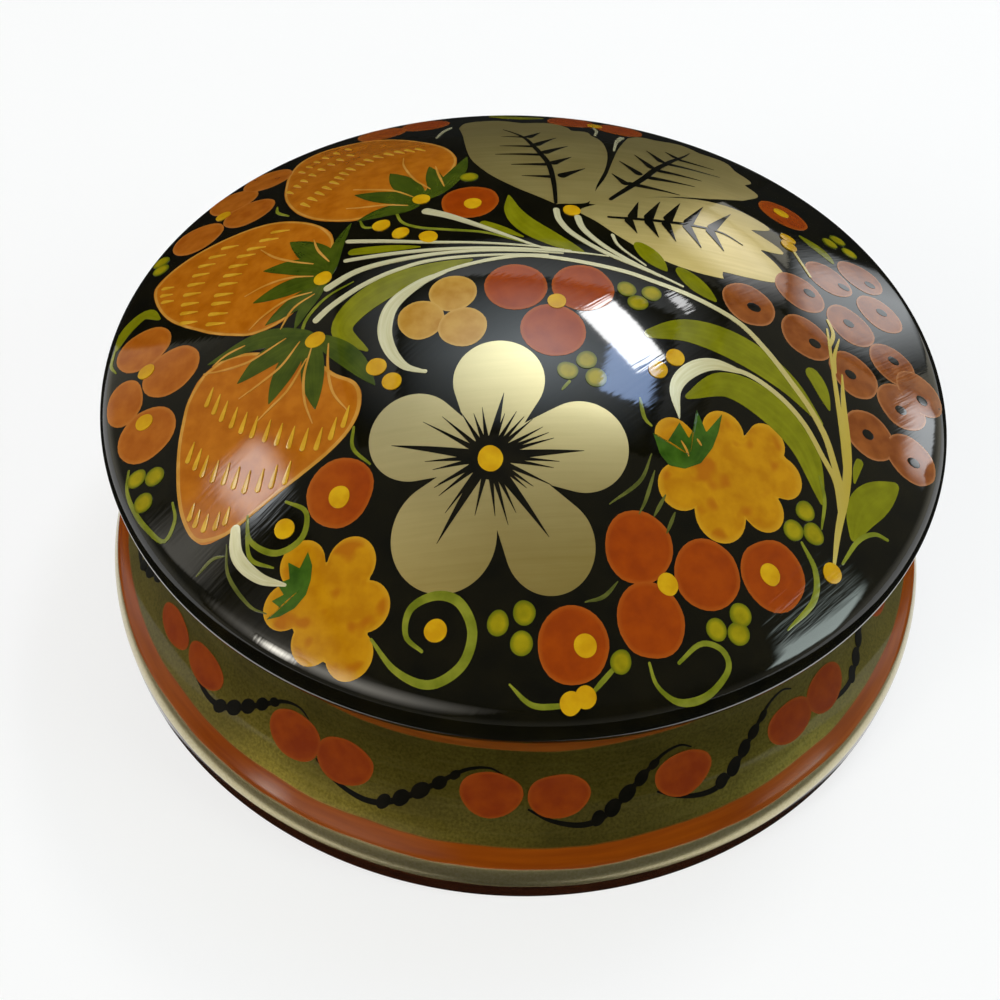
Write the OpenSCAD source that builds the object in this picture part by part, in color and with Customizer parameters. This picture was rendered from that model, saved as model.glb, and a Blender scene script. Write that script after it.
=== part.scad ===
// Round turned-wood trinket box: a coved body on a flared foot, and a domed lid that lifts off.
// Millimetres, +Z up, origin at the centre of the surface that the box stands on.

/* [Body] */
// Diameter of the foot at its widest
base_d = 130; // [120:1:150]
// Height of the shoulder that the lid rests on
shoulder_h = 32.5; // [26:0.5:50]
// Diameter of the neck just under the lid
neck_d = 106; // [102:0.5:112]
// Diameter of the hollow inside
bore_d = 92; // [70:0.5:94]
// Thickness of the wood under the hollow
floor_t = 7; // [4:0.5:14]
// Radius of the round between the inside wall and the floor
floor_fillet = 6; // [1:0.5:12]

/* [Foot] */
// Height of the crease between the foot's edge and the cove
foot_h = 8.2; // [7:0.1:9.5]
// Height at which the foot's edge is widest
foot_mid_h = 4.5; // [3.5:0.1:5]
// Radius of the upper round of the foot's edge
foot_top_r = 6; // [5.5:0.1:9]
// Radius of the lower round of the foot's edge
foot_bottom_r = 2; // [0.5:0.1:3.4]
// Depth of the shallow hollow turned under the foot
under_depth = 1; // [0.4:0.1:2.5]
// Diameter of that hollow at the standing surface
under_d = 104; // [60:1:112]

/* [Lip] */
// Thickness of the lip that stands up inside the lid
lip_t = 3; // [2:0.1:4]
// Height of the lip above the shoulder
lip_h = 4; // [2:0.1:6]
// Bevel on the lip's outer top edge
lip_bevel = 0.8; // [0.2:0.1:1.2]

/* [Lid] */
// Diameter of the lid at its rounded rim
lid_d = 120; // [116:1:150]
// Radius of the half-round rim
rim_r = 4; // [2.5:0.1:6]
// Slope of the straight stretch between crown and rim, in degrees
lid_slope = 26; // [18:0.5:32]
// Radius of the domed crown
crown_r = 92; // [70:1:110]
// Thickness of the dome
lid_t = 6; // [4:0.1:8]

/* [Fit] */
// Gap between the lip and the lid's mouth, all round
fit_gap = 0.3; // [0.1:0.05:0.6]
// Free height over the lip inside the lid
lip_headroom = 0.5; // [0.2:0.1:1.5]
// Bevel at the lid's mouth, which leads it on to the lip
mouth_bevel = 0.6; // [0.2:0.1:1.2]

/* [Hidden] */
$fn = 160;

// Radii of the body
base_r = base_d / 2;
neck_r = neck_d / 2;
bore_r = bore_d / 2;
lip_r = bore_r + lip_t;
under_r = under_d / 2;
lip_top = shoulder_h + lip_h;

// The foot's edge ends in a crease, where the cove begins
foot_round_r = base_r - foot_top_r;
crease_r = foot_round_r + sqrt(pow(foot_top_r, 2) - pow(foot_h - foot_mid_h, 2));

// The cove is one arc, upright at the neck and ending on the crease
cove_run = crease_r - neck_r;
cove_rise = shoulder_h - foot_h;
cove_r = (pow(cove_run, 2) + pow(cove_rise, 2)) / (2 * cove_run);

// The lid's rim is a half round that touches the shoulder's plane
lid_r = lid_d / 2;
rim_mid_r = lid_r - rim_r;
rim_mid_h = shoulder_h + rim_r;
mouth_r = lip_r + fit_gap;
mouth_top = lip_top + lip_headroom;

// The straight stretch touches both the rim and the crown
slope_end_r = rim_mid_r + rim_r * sin(lid_slope);
slope_end_h = rim_mid_h + rim_r * cos(lid_slope);
crown_end_r = crown_r * sin(lid_slope);
crown_end_h = slope_end_h + (slope_end_r - crown_end_r) * tan(lid_slope);
crown_mid_h = crown_end_h - crown_r * cos(lid_slope);
lid_top = crown_mid_h + crown_r;

// The inside of the dome follows the outside
inner_crown_r = crown_r - lid_t;
inner_end_r = inner_crown_r * sin(lid_slope);
inner_end_h = crown_mid_h + inner_crown_r * cos(lid_slope);
inner_rim_h = inner_end_h - (mouth_r - inner_end_r) * tan(lid_slope);

// A block of the turning profile, from one radius and height to another
module block(r_from, h_from, r_to, h_to) {
    translate([r_from, h_from])
        square([r_to - r_from, h_to - h_from]);
}

// A disc of the turning profile
module arc(at_r, at_h, r) {
    translate([at_r, at_h])
        circle(r = r);
}

// A triangle that bevels an edge: two legs from the corner, each with its sign
module bevel(at_r, at_h, leg_r, leg_h) {
    translate([at_r, at_h])
        polygon([[0, 0], [leg_r, 0], [0, leg_h]]);
}

// The foot: a disc whose edge has a wide upper round and a small lower one
module foot_profile() {
    intersection() {
        arc(foot_round_r, foot_mid_h, foot_top_r);
        block(0, foot_mid_h, base_r, foot_h);
    }
    block(0, foot_mid_h, foot_round_r, foot_h);
    block(0, foot_bottom_r, base_r, foot_mid_h);
    block(0, 0, base_r - foot_bottom_r, foot_bottom_r);
    arc(base_r - foot_bottom_r, foot_bottom_r, foot_bottom_r);
}

// The wall above the foot, hollowed outside by the cove
module wall_profile() {
    difference() {
        block(0, foot_h, crease_r, shoulder_h);
        arc(neck_r + cove_r, shoulder_h, cove_r);
    }
}

// The lip that the lid drops over
module lip_profile() {
    difference() {
        block(0, shoulder_h, lip_r, lip_top);
        bevel(lip_r, lip_top, -lip_bevel, -lip_bevel);
    }
}

// The hollow for trinkets: a straight bore with a round at the floor
module hollow_profile() {
    block(0, floor_t, bore_r - floor_fillet, lip_top);
    block(0, floor_t + floor_fillet, bore_r, lip_top);
    arc(bore_r - floor_fillet, floor_t + floor_fillet, floor_fillet);
}

// The shallow dish under the foot, so that the box stands on a ring
module under_profile() {
    polygon([[0, 0], [under_r, 0], [under_r - under_depth, under_depth], [0, under_depth]]);
}

module box_body() {
    color("darkkhaki")
        rotate_extrude()
            difference() {
                union() {
                    foot_profile();
                    wall_profile();
                    lip_profile();
                }
                hollow_profile();
                under_profile();
            }
}

// The dome from outside: crown, straight stretch and half-round rim
module dome_profile() {
    intersection() {
        arc(0, crown_mid_h, crown_r);
        block(0, shoulder_h, crown_end_r, lid_top);
    }
    polygon([
        [crown_end_r, shoulder_h],
        [rim_mid_r, shoulder_h],
        [slope_end_r, slope_end_h],
        [crown_end_r, crown_end_h]
    ]);
    arc(rim_mid_r, rim_mid_h, rim_r);
}

// The inside of the lid: a straight mouth for the lip, under a dome that follows the outside
module lid_hollow_profile() {
    block(0, shoulder_h, mouth_r, mouth_top);
    bevel(mouth_r, shoulder_h, mouth_bevel, mouth_bevel);
    intersection() {
        union() {
            intersection() {
                arc(0, crown_mid_h, inner_crown_r);
                block(0, shoulder_h, inner_end_r, lid_top);
            }
            polygon([
                [inner_end_r, shoulder_h],
                [mouth_r, shoulder_h],
                [mouth_r, inner_rim_h],
                [inner_end_r, inner_end_h]
            ]);
        }
        block(0, shoulder_h, mouth_r, lid_top);
    }
}

module lid() {
    color("#16150f")
        rotate_extrude()
            difference() {
                dome_profile();
                lid_hollow_profile();
            }
}

box_body();
lid();
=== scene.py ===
# %% [markdown]
# # A turned and painted trinket box
# The box is two pieces of turned wood: a coved body on a flared foot, and a domed lid that lifts off. All
# the rest is paint under clear lacquer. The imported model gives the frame: where each piece is and which
# body it rides on. Everything below is built in that frame, in metres, and drawn in millimetres.

# %% Load the frame
import math
import bpy
import numpy as np
from mathutils import Matrix, Vector


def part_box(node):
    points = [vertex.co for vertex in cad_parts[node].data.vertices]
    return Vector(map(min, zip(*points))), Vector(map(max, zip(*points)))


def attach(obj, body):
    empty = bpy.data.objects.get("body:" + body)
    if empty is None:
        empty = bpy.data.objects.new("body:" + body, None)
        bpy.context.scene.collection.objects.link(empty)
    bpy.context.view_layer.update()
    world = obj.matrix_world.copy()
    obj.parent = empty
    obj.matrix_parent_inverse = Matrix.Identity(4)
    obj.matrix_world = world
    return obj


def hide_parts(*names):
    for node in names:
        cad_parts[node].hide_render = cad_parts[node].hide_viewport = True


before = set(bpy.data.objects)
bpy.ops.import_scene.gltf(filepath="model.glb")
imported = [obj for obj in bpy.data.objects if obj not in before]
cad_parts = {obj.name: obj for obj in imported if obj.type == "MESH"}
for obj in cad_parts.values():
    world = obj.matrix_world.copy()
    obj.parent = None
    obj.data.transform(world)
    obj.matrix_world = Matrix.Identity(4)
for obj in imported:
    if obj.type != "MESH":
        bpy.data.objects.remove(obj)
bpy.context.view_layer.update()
MM = 0.001
lid_low, lid_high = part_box("lid")
body_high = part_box("box_body")[1]

# %% [markdown]
# ## Camera
# The photo looks down on the box from close by, so the far rim is strongly foreshortened. The camera stands
# where a hand-held camera would be: about 200 mm away, half-way up the sky, turned a little clockwise.
# Matching it first means that every later render can be laid over the photo.

# %% Camera at the photo's angle
EYE = Vector((0, -124.8, 159.9)) * MM
PITCH = math.radians(51.03)
ROLL = math.radians(3.28)
LENS_MM = 43.2
SENSOR_MM = 36
AXIS_SHIFT = -0.0193
NEAREST = 0.01


def linked(name, data):
    """A new object in the scene."""
    made = bpy.data.objects.new(name, data)
    bpy.context.scene.collection.objects.link(made)
    return made


camera = linked("camera", bpy.data.cameras.new("camera"))
camera.data.lens = LENS_MM
camera.data.sensor_width = SENSOR_MM
camera.data.shift_x = AXIS_SHIFT
camera.data.clip_start = NEAREST
forward = Vector((0, math.cos(PITCH), -math.sin(PITCH)))
level_right = Vector((1, 0, 0))
level_up = level_right.cross(forward)
right = math.cos(ROLL) * level_right + math.sin(ROLL) * level_up
up = -math.sin(ROLL) * level_right + math.cos(ROLL) * level_up
turn = Matrix((right, up, -forward)).transposed().to_4x4()
camera.matrix_world = Matrix.Translation(EYE) @ turn
bpy.context.scene.camera = camera
print("camera", [round(v / MM) for v in EYE], "mm")

# %% [markdown]
# ## Nodes without clutter
# Geometry trees and materials are both node trees. Small helpers keep them readable: one adds a node and
# sets or links its inputs, and the others are common nodes under the name of what they give. All of them
# take plain numbers or other nodes' sockets.

# %% Helpers for node trees
SHARP_FROM = math.radians(35)


def add(tree, kind, inputs=None, **settings):
    """Adds a node. Inputs are named or numbered, and each is a value or another node's socket."""
    made = tree.nodes.new(kind)
    for key, value in settings.items():
        setattr(made, key, value)
    for key, value in (inputs or {}).items():
        if isinstance(value, bpy.types.NodeSocket):
            tree.links.new(value, made.inputs[key])
        else:
            made.inputs[key].default_value = value
    return made


def calc(tree, operation, *operands):
    """The result of a Math node."""
    return add(tree, "ShaderNodeMath", dict(enumerate(operands)), operation=operation).outputs[0]


def vector_calc(tree, operation, *operands):
    """The result of a Vector Math node."""
    return add(tree, "ShaderNodeVectorMath", dict(enumerate(operands)), operation=operation).outputs[0]


def parts(tree, vector):
    """The X, Y and Z of a vector."""
    return add(tree, "ShaderNodeSeparateXYZ", {0: vector}).outputs


def combined(tree, **axes):
    """A vector from its X, Y and Z."""
    return add(tree, "ShaderNodeCombineXYZ", axes).outputs[0]


def polar(tree, reach, angle, **height):
    """A vector at a distance from the axis and an angle round it."""
    return combined(tree, X=calc(tree, "MULTIPLY", reach, calc(tree, "COSINE", angle)),
                    Y=calc(tree, "MULTIPLY", reach, calc(tree, "SINE", angle)), **height)

# %% [markdown]
# Geometry trees need a few more. The last one runs a finished tree on a mesh and keeps the result as a
# plain mesh, because later steps and the export want real faces and not a modifier.

# %% Helpers for geometry trees
def geometry_tree(name, **inputs):
    """A Geometry Nodes tree with named inputs, and its two end nodes."""
    tree = bpy.data.node_groups.new(name, "GeometryNodeTree")
    tree.interface.new_socket("Geometry", in_out="INPUT", socket_type="NodeSocketGeometry")
    tree.interface.new_socket("Geometry", in_out="OUTPUT", socket_type="NodeSocketGeometry")
    for label, kind in inputs.items():
        tree.interface.new_socket(label, in_out="INPUT", socket_type="NodeSocket" + kind)
    return tree, tree.nodes.new("NodeGroupInput").outputs, tree.nodes.new("NodeGroupOutput").inputs


def attribute(tree, name):
    """A number that the geometry carries under a name."""
    return add(tree, "GeometryNodeInputNamedAttribute", {"Name": name},
               data_type="FLOAT").outputs["Attribute"]


def position(tree):
    """The place of each point of the geometry."""
    return add(tree, "GeometryNodeInputPosition").outputs[0]


def normal(tree):
    """The direction that each point or face looks in."""
    return add(tree, "GeometryNodeInputNormal").outputs[0]


def stored(tree, geometry, name, value, kind="FLOAT", domain="POINT"):
    """The geometry with a value kept on it under a name."""
    return add(tree, "GeometryNodeStoreNamedAttribute",
               {"Geometry": geometry, "Name": name, "Value": value},
               data_type=kind, domain=domain).outputs[0]


def placed(tree, geometry, **change):
    """The geometry with its points moved, by Position or Offset, where Selection says."""
    return add(tree, "GeometryNodeSetPosition", {"Geometry": geometry, **change}).outputs[0]


def merged(tree, geometry, distance):
    """The geometry with near points made one."""
    return add(tree, "GeometryNodeMergeByDistance", {"Geometry": geometry, "Distance": distance}).outputs[0]


def dressed(tree, geometry, **finish):
    """The geometry with a Material, where Selection says."""
    return add(tree, "GeometryNodeSetMaterial", {"Geometry": geometry, **finish}).outputs[0]


def finished(tree, geometry, seam, material):
    """The end of a shape: its seams merged, its faces smooth, no instances left, and one material."""
    smoothed = add(tree, "GeometryNodeSetShadeSmooth", {"Geometry": merged(tree, geometry, seam)})
    real = add(tree, "GeometryNodeRealizeInstances", {0: smoothed.outputs[0]})
    return dressed(tree, real.outputs[0], Material=material)


def grow(name, source, tree, **values):
    """Runs a tree on a mesh, and keeps the result as a plain mesh at the origin."""
    piece = linked(name, source)
    modifier = piece.modifiers.new(tree.name, "NODES")
    modifier.node_group = tree
    for item in tree.interface.items_tree:
        if item.in_out == "INPUT" and item.name in values:
            modifier[item.identifier] = values[item.name]
    graph = bpy.context.evaluated_depsgraph_get()
    made = bpy.data.meshes.new_from_object(
        piece.evaluated_get(graph), preserve_all_data_layers=True, depsgraph=graph)
    piece.modifiers.remove(modifier)
    piece.data = made
    made.name = name
    made.set_sharp_from_angle(angle=SHARP_FROM)
    print(name, len(made.polygons), "faces")
    return piece

# %% [markdown]
# ## Lacquer
# Clear lacquer is what all the finishes share: it is glossy enough to mirror a window with sharp edges, but
# an old box has hair scratches, a little dust, a slow swell where the brush left it thicker, and a fine
# slanting hatch that shows only in the brightest reflections. One shader group gives a roughness and a
# height for all of that, and each material uses it with its own amounts.

# %% Helpers for shader trees
def shader_group(name, inputs, outputs):
    """A shader node group with named sockets, and its two end nodes."""
    tree = bpy.data.node_groups.new(name, "ShaderNodeTree")
    for label, value in inputs.items():
        socket = tree.interface.new_socket(label, in_out="INPUT", socket_type="NodeSocketFloat")
        socket.default_value = value
    for label in outputs:
        tree.interface.new_socket(label, in_out="OUTPUT", socket_type="NodeSocketFloat")
    return tree, tree.nodes.new("NodeGroupInput").outputs, tree.nodes.new("NodeGroupOutput").inputs


def on_object(tree):
    """Object coordinates, which are metres in the frame."""
    return add(tree, "ShaderNodeTexCoord").outputs["Object"]


def ramp(tree, value, low, high, out_low=0.0, out_high=1.0):
    """Maps a value from one range to another, and stops at the ends."""
    made = add(tree, "ShaderNodeMapRange", {"Value": value, "From Min": low, "From Max": high,
                                            "To Min": out_low, "To Max": out_high})
    return made.outputs["Result"]


def noise(tree, vector, scale=1.0, detail=2.0, rough=0.5):
    """A noise value from 0 to 1."""
    made = add(tree, "ShaderNodeTexNoise", {"Vector": vector, "Scale": scale, "Detail": detail,
                                            "Roughness": rough})
    return made.outputs["Fac"]


def stretch(tree, vector, sizes, turn=0.0):
    """Coordinates turned about the axis and then scaled unevenly, for streaks along the turned X."""
    turned = add(tree, "ShaderNodeMapping", {"Vector": vector, "Rotation": (0.0, 0.0, turn)})
    return add(tree, "ShaderNodeMapping", {"Vector": turned.outputs[0], "Scale": sizes}).outputs[0]

# %% The lacquer group
LACQUER_GRAIN = {"hair": (40, 2400, 40), "hatch": (160, 2000, 160), "hairy": 60, "dust": 2200, "cloud": 90,
                 "swell": 55, "rubbed_and_painted_light": 45}
HAIR_TURN = 0.5
HATCH_TURN = math.radians(-44)
HATCH_DEPTH = 0.13
HAIR_ROUGH = 0.06
DUST_ROUGH = 0.03
CLOUD_ROUGH = 0.03


def lacquer_group():
    """Scratches, dust and clouds in the roughness; a slow swell and a rubbed hatch in the height."""
    tree, given, result = shader_group("lacquer", {"Gloss": 0.1, "Wear": 1.0}, ("Roughness", "Height"))
    spot = on_object(tree)
    hair = ramp(tree, noise(tree, stretch(tree, spot, LACQUER_GRAIN["hair"], HAIR_TURN)), 0.66, 0.74)
    hair = calc(tree, "MULTIPLY", hair, ramp(tree, noise(tree, spot, LACQUER_GRAIN["hairy"]), 0.5, 0.62))
    dust = ramp(tree, noise(tree, spot, LACQUER_GRAIN["dust"], 1.0), 0.72, 0.78)
    marked = calc(tree, "MULTIPLY_ADD", dust, DUST_ROUGH, calc(tree, "MULTIPLY", hair, HAIR_ROUGH))
    worn = calc(tree, "MULTIPLY", given["Wear"], marked)
    cloud = calc(tree, "SUBTRACT", noise(tree, spot, LACQUER_GRAIN["cloud"], 3.0), 0.5)
    worn = calc(tree, "MULTIPLY_ADD", cloud, CLOUD_ROUGH, worn)
    tree.links.new(calc(tree, "ADD", given["Gloss"], worn), result["Roughness"])
    swell = noise(tree, spot, LACQUER_GRAIN["swell"], 1.0)
    hatch = noise(tree, stretch(tree, spot, LACQUER_GRAIN["hatch"], HATCH_TURN))
    rubbed_and_painted_light = ramp(tree, noise(tree, spot, LACQUER_GRAIN["rubbed_and_painted_light"], 1.0), 0.42, 0.58, 0.15, 1.0)
    depth = calc(tree, "MULTIPLY", given["Wear"], HATCH_DEPTH)
    hatch = calc(tree, "MULTIPLY", calc(tree, "MULTIPLY", hatch, rubbed_and_painted_light), depth)
    tree.links.new(calc(tree, "ADD", swell, hatch), result["Height"])
    return tree


lacquer = lacquer_group()
print("lacquer group", len(lacquer.nodes), "nodes")

# %% [markdown]
# Hand-laid paint is never one even colour. Most finishes here are two tones with a noise between them, and
# some have a third tone over that in places, so both have a helper.

# %% Mixing colours
def rgb(red, green, blue):
    """A colour with nothing seen through it."""
    return (red, green, blue, 1.0)


def mix(tree, share, first, second):
    """A mix of two colours."""
    made = tree.nodes.new("ShaderNodeMix")
    made.data_type = "RGBA"
    for socket, value in zip((made.inputs[0], made.inputs[6], made.inputs[7]), (share, first, second)):
        if isinstance(value, bpy.types.NodeSocket):
            tree.links.new(value, socket)
        else:
            socket.default_value = value
    return made.outputs[2]


def two_tones(tree, value, dark, light, low=0.3, high=0.7):
    """From a dark to a light tone while a value runs from low to high."""
    return mix(tree, ramp(tree, value, low, high), rgb(*dark), rgb(*light))


def laid_over(tree, ground, colour, value, low, high, share=1.0):
    """A ground, and up to a share of another colour over it while a value runs from low to high."""
    return mix(tree, ramp(tree, value, low, high, 0.0, share), ground, rgb(*colour))

# %% [markdown]
# Every finish on the box is then one material with the lacquer group in it: the group's roughness, its
# height through a Bump node, and a base colour that the finish mixes for itself.

# %% A lacquered material
RELIEF = 0.002
COAT_ROUGH = 0.05


def lacquered(name, colour, gloss=0.05, wear=1.0, metal=0.0, coat=0.0, bump=0.05, shine=0.5):
    """A material with the lacquer group. colour(tree) returns the socket for its base colour."""
    material = bpy.data.materials.new(name)
    material.use_nodes = True
    tree = material.node_tree
    shader = tree.nodes["Principled BSDF"]
    coating = add(tree, "ShaderNodeGroup", node_tree=lacquer)
    coating.inputs["Gloss"].default_value = gloss
    coating.inputs["Wear"].default_value = wear
    relief = add(tree, "ShaderNodeBump", {
        "Strength": bump, "Distance": RELIEF, "Height": coating.outputs["Height"]})
    tree.links.new(colour(tree), shader.inputs["Base Color"])
    tree.links.new(coating.outputs["Roughness"], shader.inputs["Roughness"])
    tree.links.new(relief.outputs[0], shader.inputs["Normal"])
    shader.inputs["Metallic"].default_value = metal
    shader.inputs["Coat Weight"].default_value = coat
    shader.inputs["Coat Roughness"].default_value = COAT_ROUGH
    shader.inputs["Specular IOR Level"].default_value = shine
    return material

# %% [markdown]
# ## Turning
# Both pieces come off a lathe, so each is one profile turned about the axis. The profile's arcs are worked
# out from a few sizes, the same as the solid's. A Geometry Nodes tree does the turning: a grid with the
# profile's points along one side and the angle along the other, wrapped round, with the seam and the poles
# merged.

# %% Sizes of the turned profiles, in millimetres
LID_R = lid_high.x / MM
RIM_R = 4.0
SLOPE = math.radians(26)
CROWN_R = 92.0
LID_WALL = 6.0
SHOULDER_H = lid_low.z / MM
LIP_TOP = body_high.z / MM
NECK_R = 53.0
BORE_R = 46.0
LIP_R = 49.0
LIP_BEVEL = 0.8
MOUTH_R = LIP_R + 0.3
MOUTH_BEVEL = 0.6
BASE_R = body_high.x / MM
FOOT_H = 8.2
FOOT_MID_H = 4.5
FOOT_TOP_R = 6.0
FOOT_BOTTOM_R = 2.0
FLOOR_H = 7.0
FLOOR_FILLET = 6.0
UNDER_R = 52.0
UNDER_DEPTH = 1.0

RIM_MID_R = LID_R - RIM_R
RIM_MID_H = SHOULDER_H + RIM_R
SLOPE_END_R = RIM_MID_R + RIM_R * math.sin(SLOPE)
SLOPE_END_H = RIM_MID_H + RIM_R * math.cos(SLOPE)
CROWN_END_R = CROWN_R * math.sin(SLOPE)
CROWN_END_H = SLOPE_END_H + (SLOPE_END_R - CROWN_END_R) * math.tan(SLOPE)
CROWN_MID_H = CROWN_END_H - CROWN_R * math.cos(SLOPE)
INNER_CROWN_R = CROWN_R - LID_WALL
CREASE_R = BASE_R - FOOT_TOP_R + math.sqrt(FOOT_TOP_R ** 2 - (FOOT_H - FOOT_MID_H) ** 2)
COVE_R = ((CREASE_R - NECK_R) ** 2 + (SHOULDER_H - FOOT_H) ** 2) / (2 * (CREASE_R - NECK_R))
print("lid top", round(CROWN_MID_H + CROWN_R, 2), "cove radius", round(COVE_R, 2))

# %% The two profiles
def arc(mid_r, mid_h, radius, start, end, count):
    """Points on an arc, with angles in degrees from the outward direction."""
    angles = np.radians(np.linspace(start, end, count))
    return [(mid_r + radius * math.cos(a), mid_h + radius * math.sin(a)) for a in angles]


def straight(start, end, count):
    """Points on a straight stretch, both ends included."""
    return [tuple(p) for p in np.linspace(start, end, count)]


slope_deg = math.degrees(SLOPE)
inner_end = (INNER_CROWN_R * math.sin(SLOPE), CROWN_MID_H + INNER_CROWN_R * math.cos(SLOPE))
inner_rim_h = inner_end[1] - (MOUTH_R - inner_end[0]) * math.tan(SLOPE)
lid_outside = (
    arc(0, CROWN_MID_H, CROWN_R, 90, 90 - slope_deg, 56)
    + straight((CROWN_END_R, CROWN_END_H), (SLOPE_END_R, SLOPE_END_H), 24)[1:]
    + arc(RIM_MID_R, RIM_MID_H, RIM_R, 90 - slope_deg, -90, 28)[1:]
    + [(MOUTH_R + MOUTH_BEVEL, SHOULDER_H)])
lid_inside = (
    [(MOUTH_R, SHOULDER_H + MOUTH_BEVEL), (MOUTH_R, inner_rim_h)]
    + straight((MOUTH_R, inner_rim_h), inner_end, 8)[1:]
    + arc(0, CROWN_MID_H, INNER_CROWN_R, 90 - slope_deg, 90, 28)[1:])
cove_end = math.degrees(math.asin((SHOULDER_H - FOOT_H) / COVE_R))
crease_deg = math.degrees(math.asin((FOOT_H - FOOT_MID_H) / FOOT_TOP_R))
body_outside = (
    [(0, UNDER_DEPTH), (UNDER_R - UNDER_DEPTH, UNDER_DEPTH), (UNDER_R, 0)]
    + arc(BASE_R - FOOT_BOTTOM_R, FOOT_BOTTOM_R, FOOT_BOTTOM_R, -90, 0, 10)
    + arc(BASE_R - FOOT_TOP_R, FOOT_MID_H, FOOT_TOP_R, 0, crease_deg, 18)
    + arc(NECK_R + COVE_R, SHOULDER_H, COVE_R, 180 + cove_end, 180, 60)[1:]
    + [(LIP_R, SHOULDER_H)])
body_inside = (
    [(LIP_R, LIP_TOP - LIP_BEVEL), (LIP_R - LIP_BEVEL, LIP_TOP), (BORE_R, LIP_TOP),
     (BORE_R, FLOOR_H + FLOOR_FILLET)]
    + arc(BORE_R - FLOOR_FILLET, FLOOR_H + FLOOR_FILLET, FLOOR_FILLET, 0, -90, 14)[1:]
    + straight((BORE_R - FLOOR_FILLET, FLOOR_H), (0, FLOOR_H), 12)[1:])
print("profile points", len(lid_outside + lid_inside), len(body_outside + body_inside))

# %% A profile as a line of points
def profile_mesh(name, outside, inside, from_below=False):
    """The profile's points, each marked as outside or inside the box. Faces look outward when the line starts
    on top, so a line that starts from below is taken backwards."""
    line = [(r * MM, h * MM, 0.0) for r, h in outside] + [(r * MM, h * MM, 1.0) for r, h in inside]
    if from_below:
        line = line[::-1]
    mesh = bpy.data.meshes.new(name)
    mesh.from_pydata([(r, 0, h) for r, h, _ in line], [(i, i + 1) for i in range(len(line) - 1)], [])
    marks = mesh.attributes.new("within", "FLOAT", "POINT")
    marks.data.foreach_set("value", [mark for _, _, mark in line])
    return mesh

# %% The lathe, as a tree
LATHE_SEAM = 0.001 * MM


def sample(tree, geometry, value, index, kind):
    """A value read from one point of another geometry."""
    made = add(tree, "GeometryNodeSampleIndex", data_type=kind)
    for key, socket in (("Geometry", geometry), ("Value", value), ("Index", index)):
        tree.links.new(socket, made.inputs[key])
    return made.outputs[0]


def lathe_tree():
    """Turns a line of points about the axis, with one material outside and another inside."""
    tree, given, result = geometry_tree("lathe", Segments="Int", Outside="Material", Inside="Material")
    line = given["Geometry"]
    count = add(tree, "GeometryNodeAttributeDomainSize", {0: line}).outputs["Point Count"]
    columns = calc(tree, "ADD", given["Segments"], 1)
    grid = add(tree, "GeometryNodeMeshGrid", {
        "Size X": 1.0, "Size Y": 1.0, "Vertices X": count, "Vertices Y": columns})
    place = parts(tree, position(tree))
    share = calc(tree, "ADD", place["X"], 0.5)
    step = calc(tree, "ROUND", calc(tree, "MULTIPLY", share, calc(tree, "SUBTRACT", count, 1)))
    angle = calc(tree, "MULTIPLY", place["Y"], math.tau)
    profile = parts(tree, sample(tree, line, position(tree), step, "FLOAT_VECTOR"))
    within = sample(tree, line, attribute(tree, "within"), step, "FLOAT")
    sheet = stored(tree, grid.outputs["Mesh"], "within", within)
    turned = placed(tree, sheet, Position=polar(tree, profile["X"], angle, Z=profile["Z"]))
    shell = finished(tree, turned, LATHE_SEAM, given["Outside"])
    inner = calc(tree, "GREATER_THAN", attribute(tree, "within"), 0.9)
    tree.links.new(dressed(tree, shell, Material=given["Inside"], Selection=inner), result[0])
    return tree


lathe = lathe_tree()
print("lathe tree", len(lathe.nodes), "nodes")

# %% [markdown]
# ## Grounds
# The lid is black under the lacquer. The body is painted in bands: old gold in the cove, orange just under
# the lid and on the crease, gold on the foot's edge and red-brown below it. The bands are masks on the
# height, with a slow wobble, because they were laid on with a brush while the box turned. Inside, both
# halves are plain orange-red lacquer.

# %% Black and red grounds
def black_ground(tree):
    """Black with a trace of warmth, in slow clouds."""
    clouds = noise(tree, on_object(tree), 240, 4.0)
    return two_tones(tree, clouds, (0.002, 0.002, 0.0008), (0.006, 0.005, 0.0015))


def inside_red(tree):
    """Orange-red in level streaks, brushed on while the wood turned."""
    streaks = noise(tree, stretch(tree, on_object(tree), (50, 50, 900)), detail=3.0)
    return two_tones(tree, streaks, (0.20, 0.028, 0.004), (0.30, 0.05, 0.006), 0.35, 0.65)

# %% Bands on the body
BAND_LOW = 7.9
BAND_HIGH = 10.1
STRIP_LOW = 22.8
UNDER_HIGH = 5.0
BAND_BLUR = 0.12
BAND_WOBBLE = 0.9
LEVEL_STREAKS = (70, 70, 1500)


def above(tree, height, level):
    """1 above a height and 0 below it, with a soft step."""
    return ramp(tree, height, level - BAND_BLUR, level + BAND_BLUR)


def body_height(tree):
    """Height on the body in millimetres, with the wobble of a band that was painted by hand."""
    where = on_object(tree)
    wobble = calc(tree, "SUBTRACT", noise(tree, stretch(tree, where, (70, 70, 0))), 0.5)
    level = calc(tree, "DIVIDE", parts(tree, where)["Z"], MM)
    return calc(tree, "MULTIPLY_ADD", wobble, BAND_WOBBLE, level)


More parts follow.
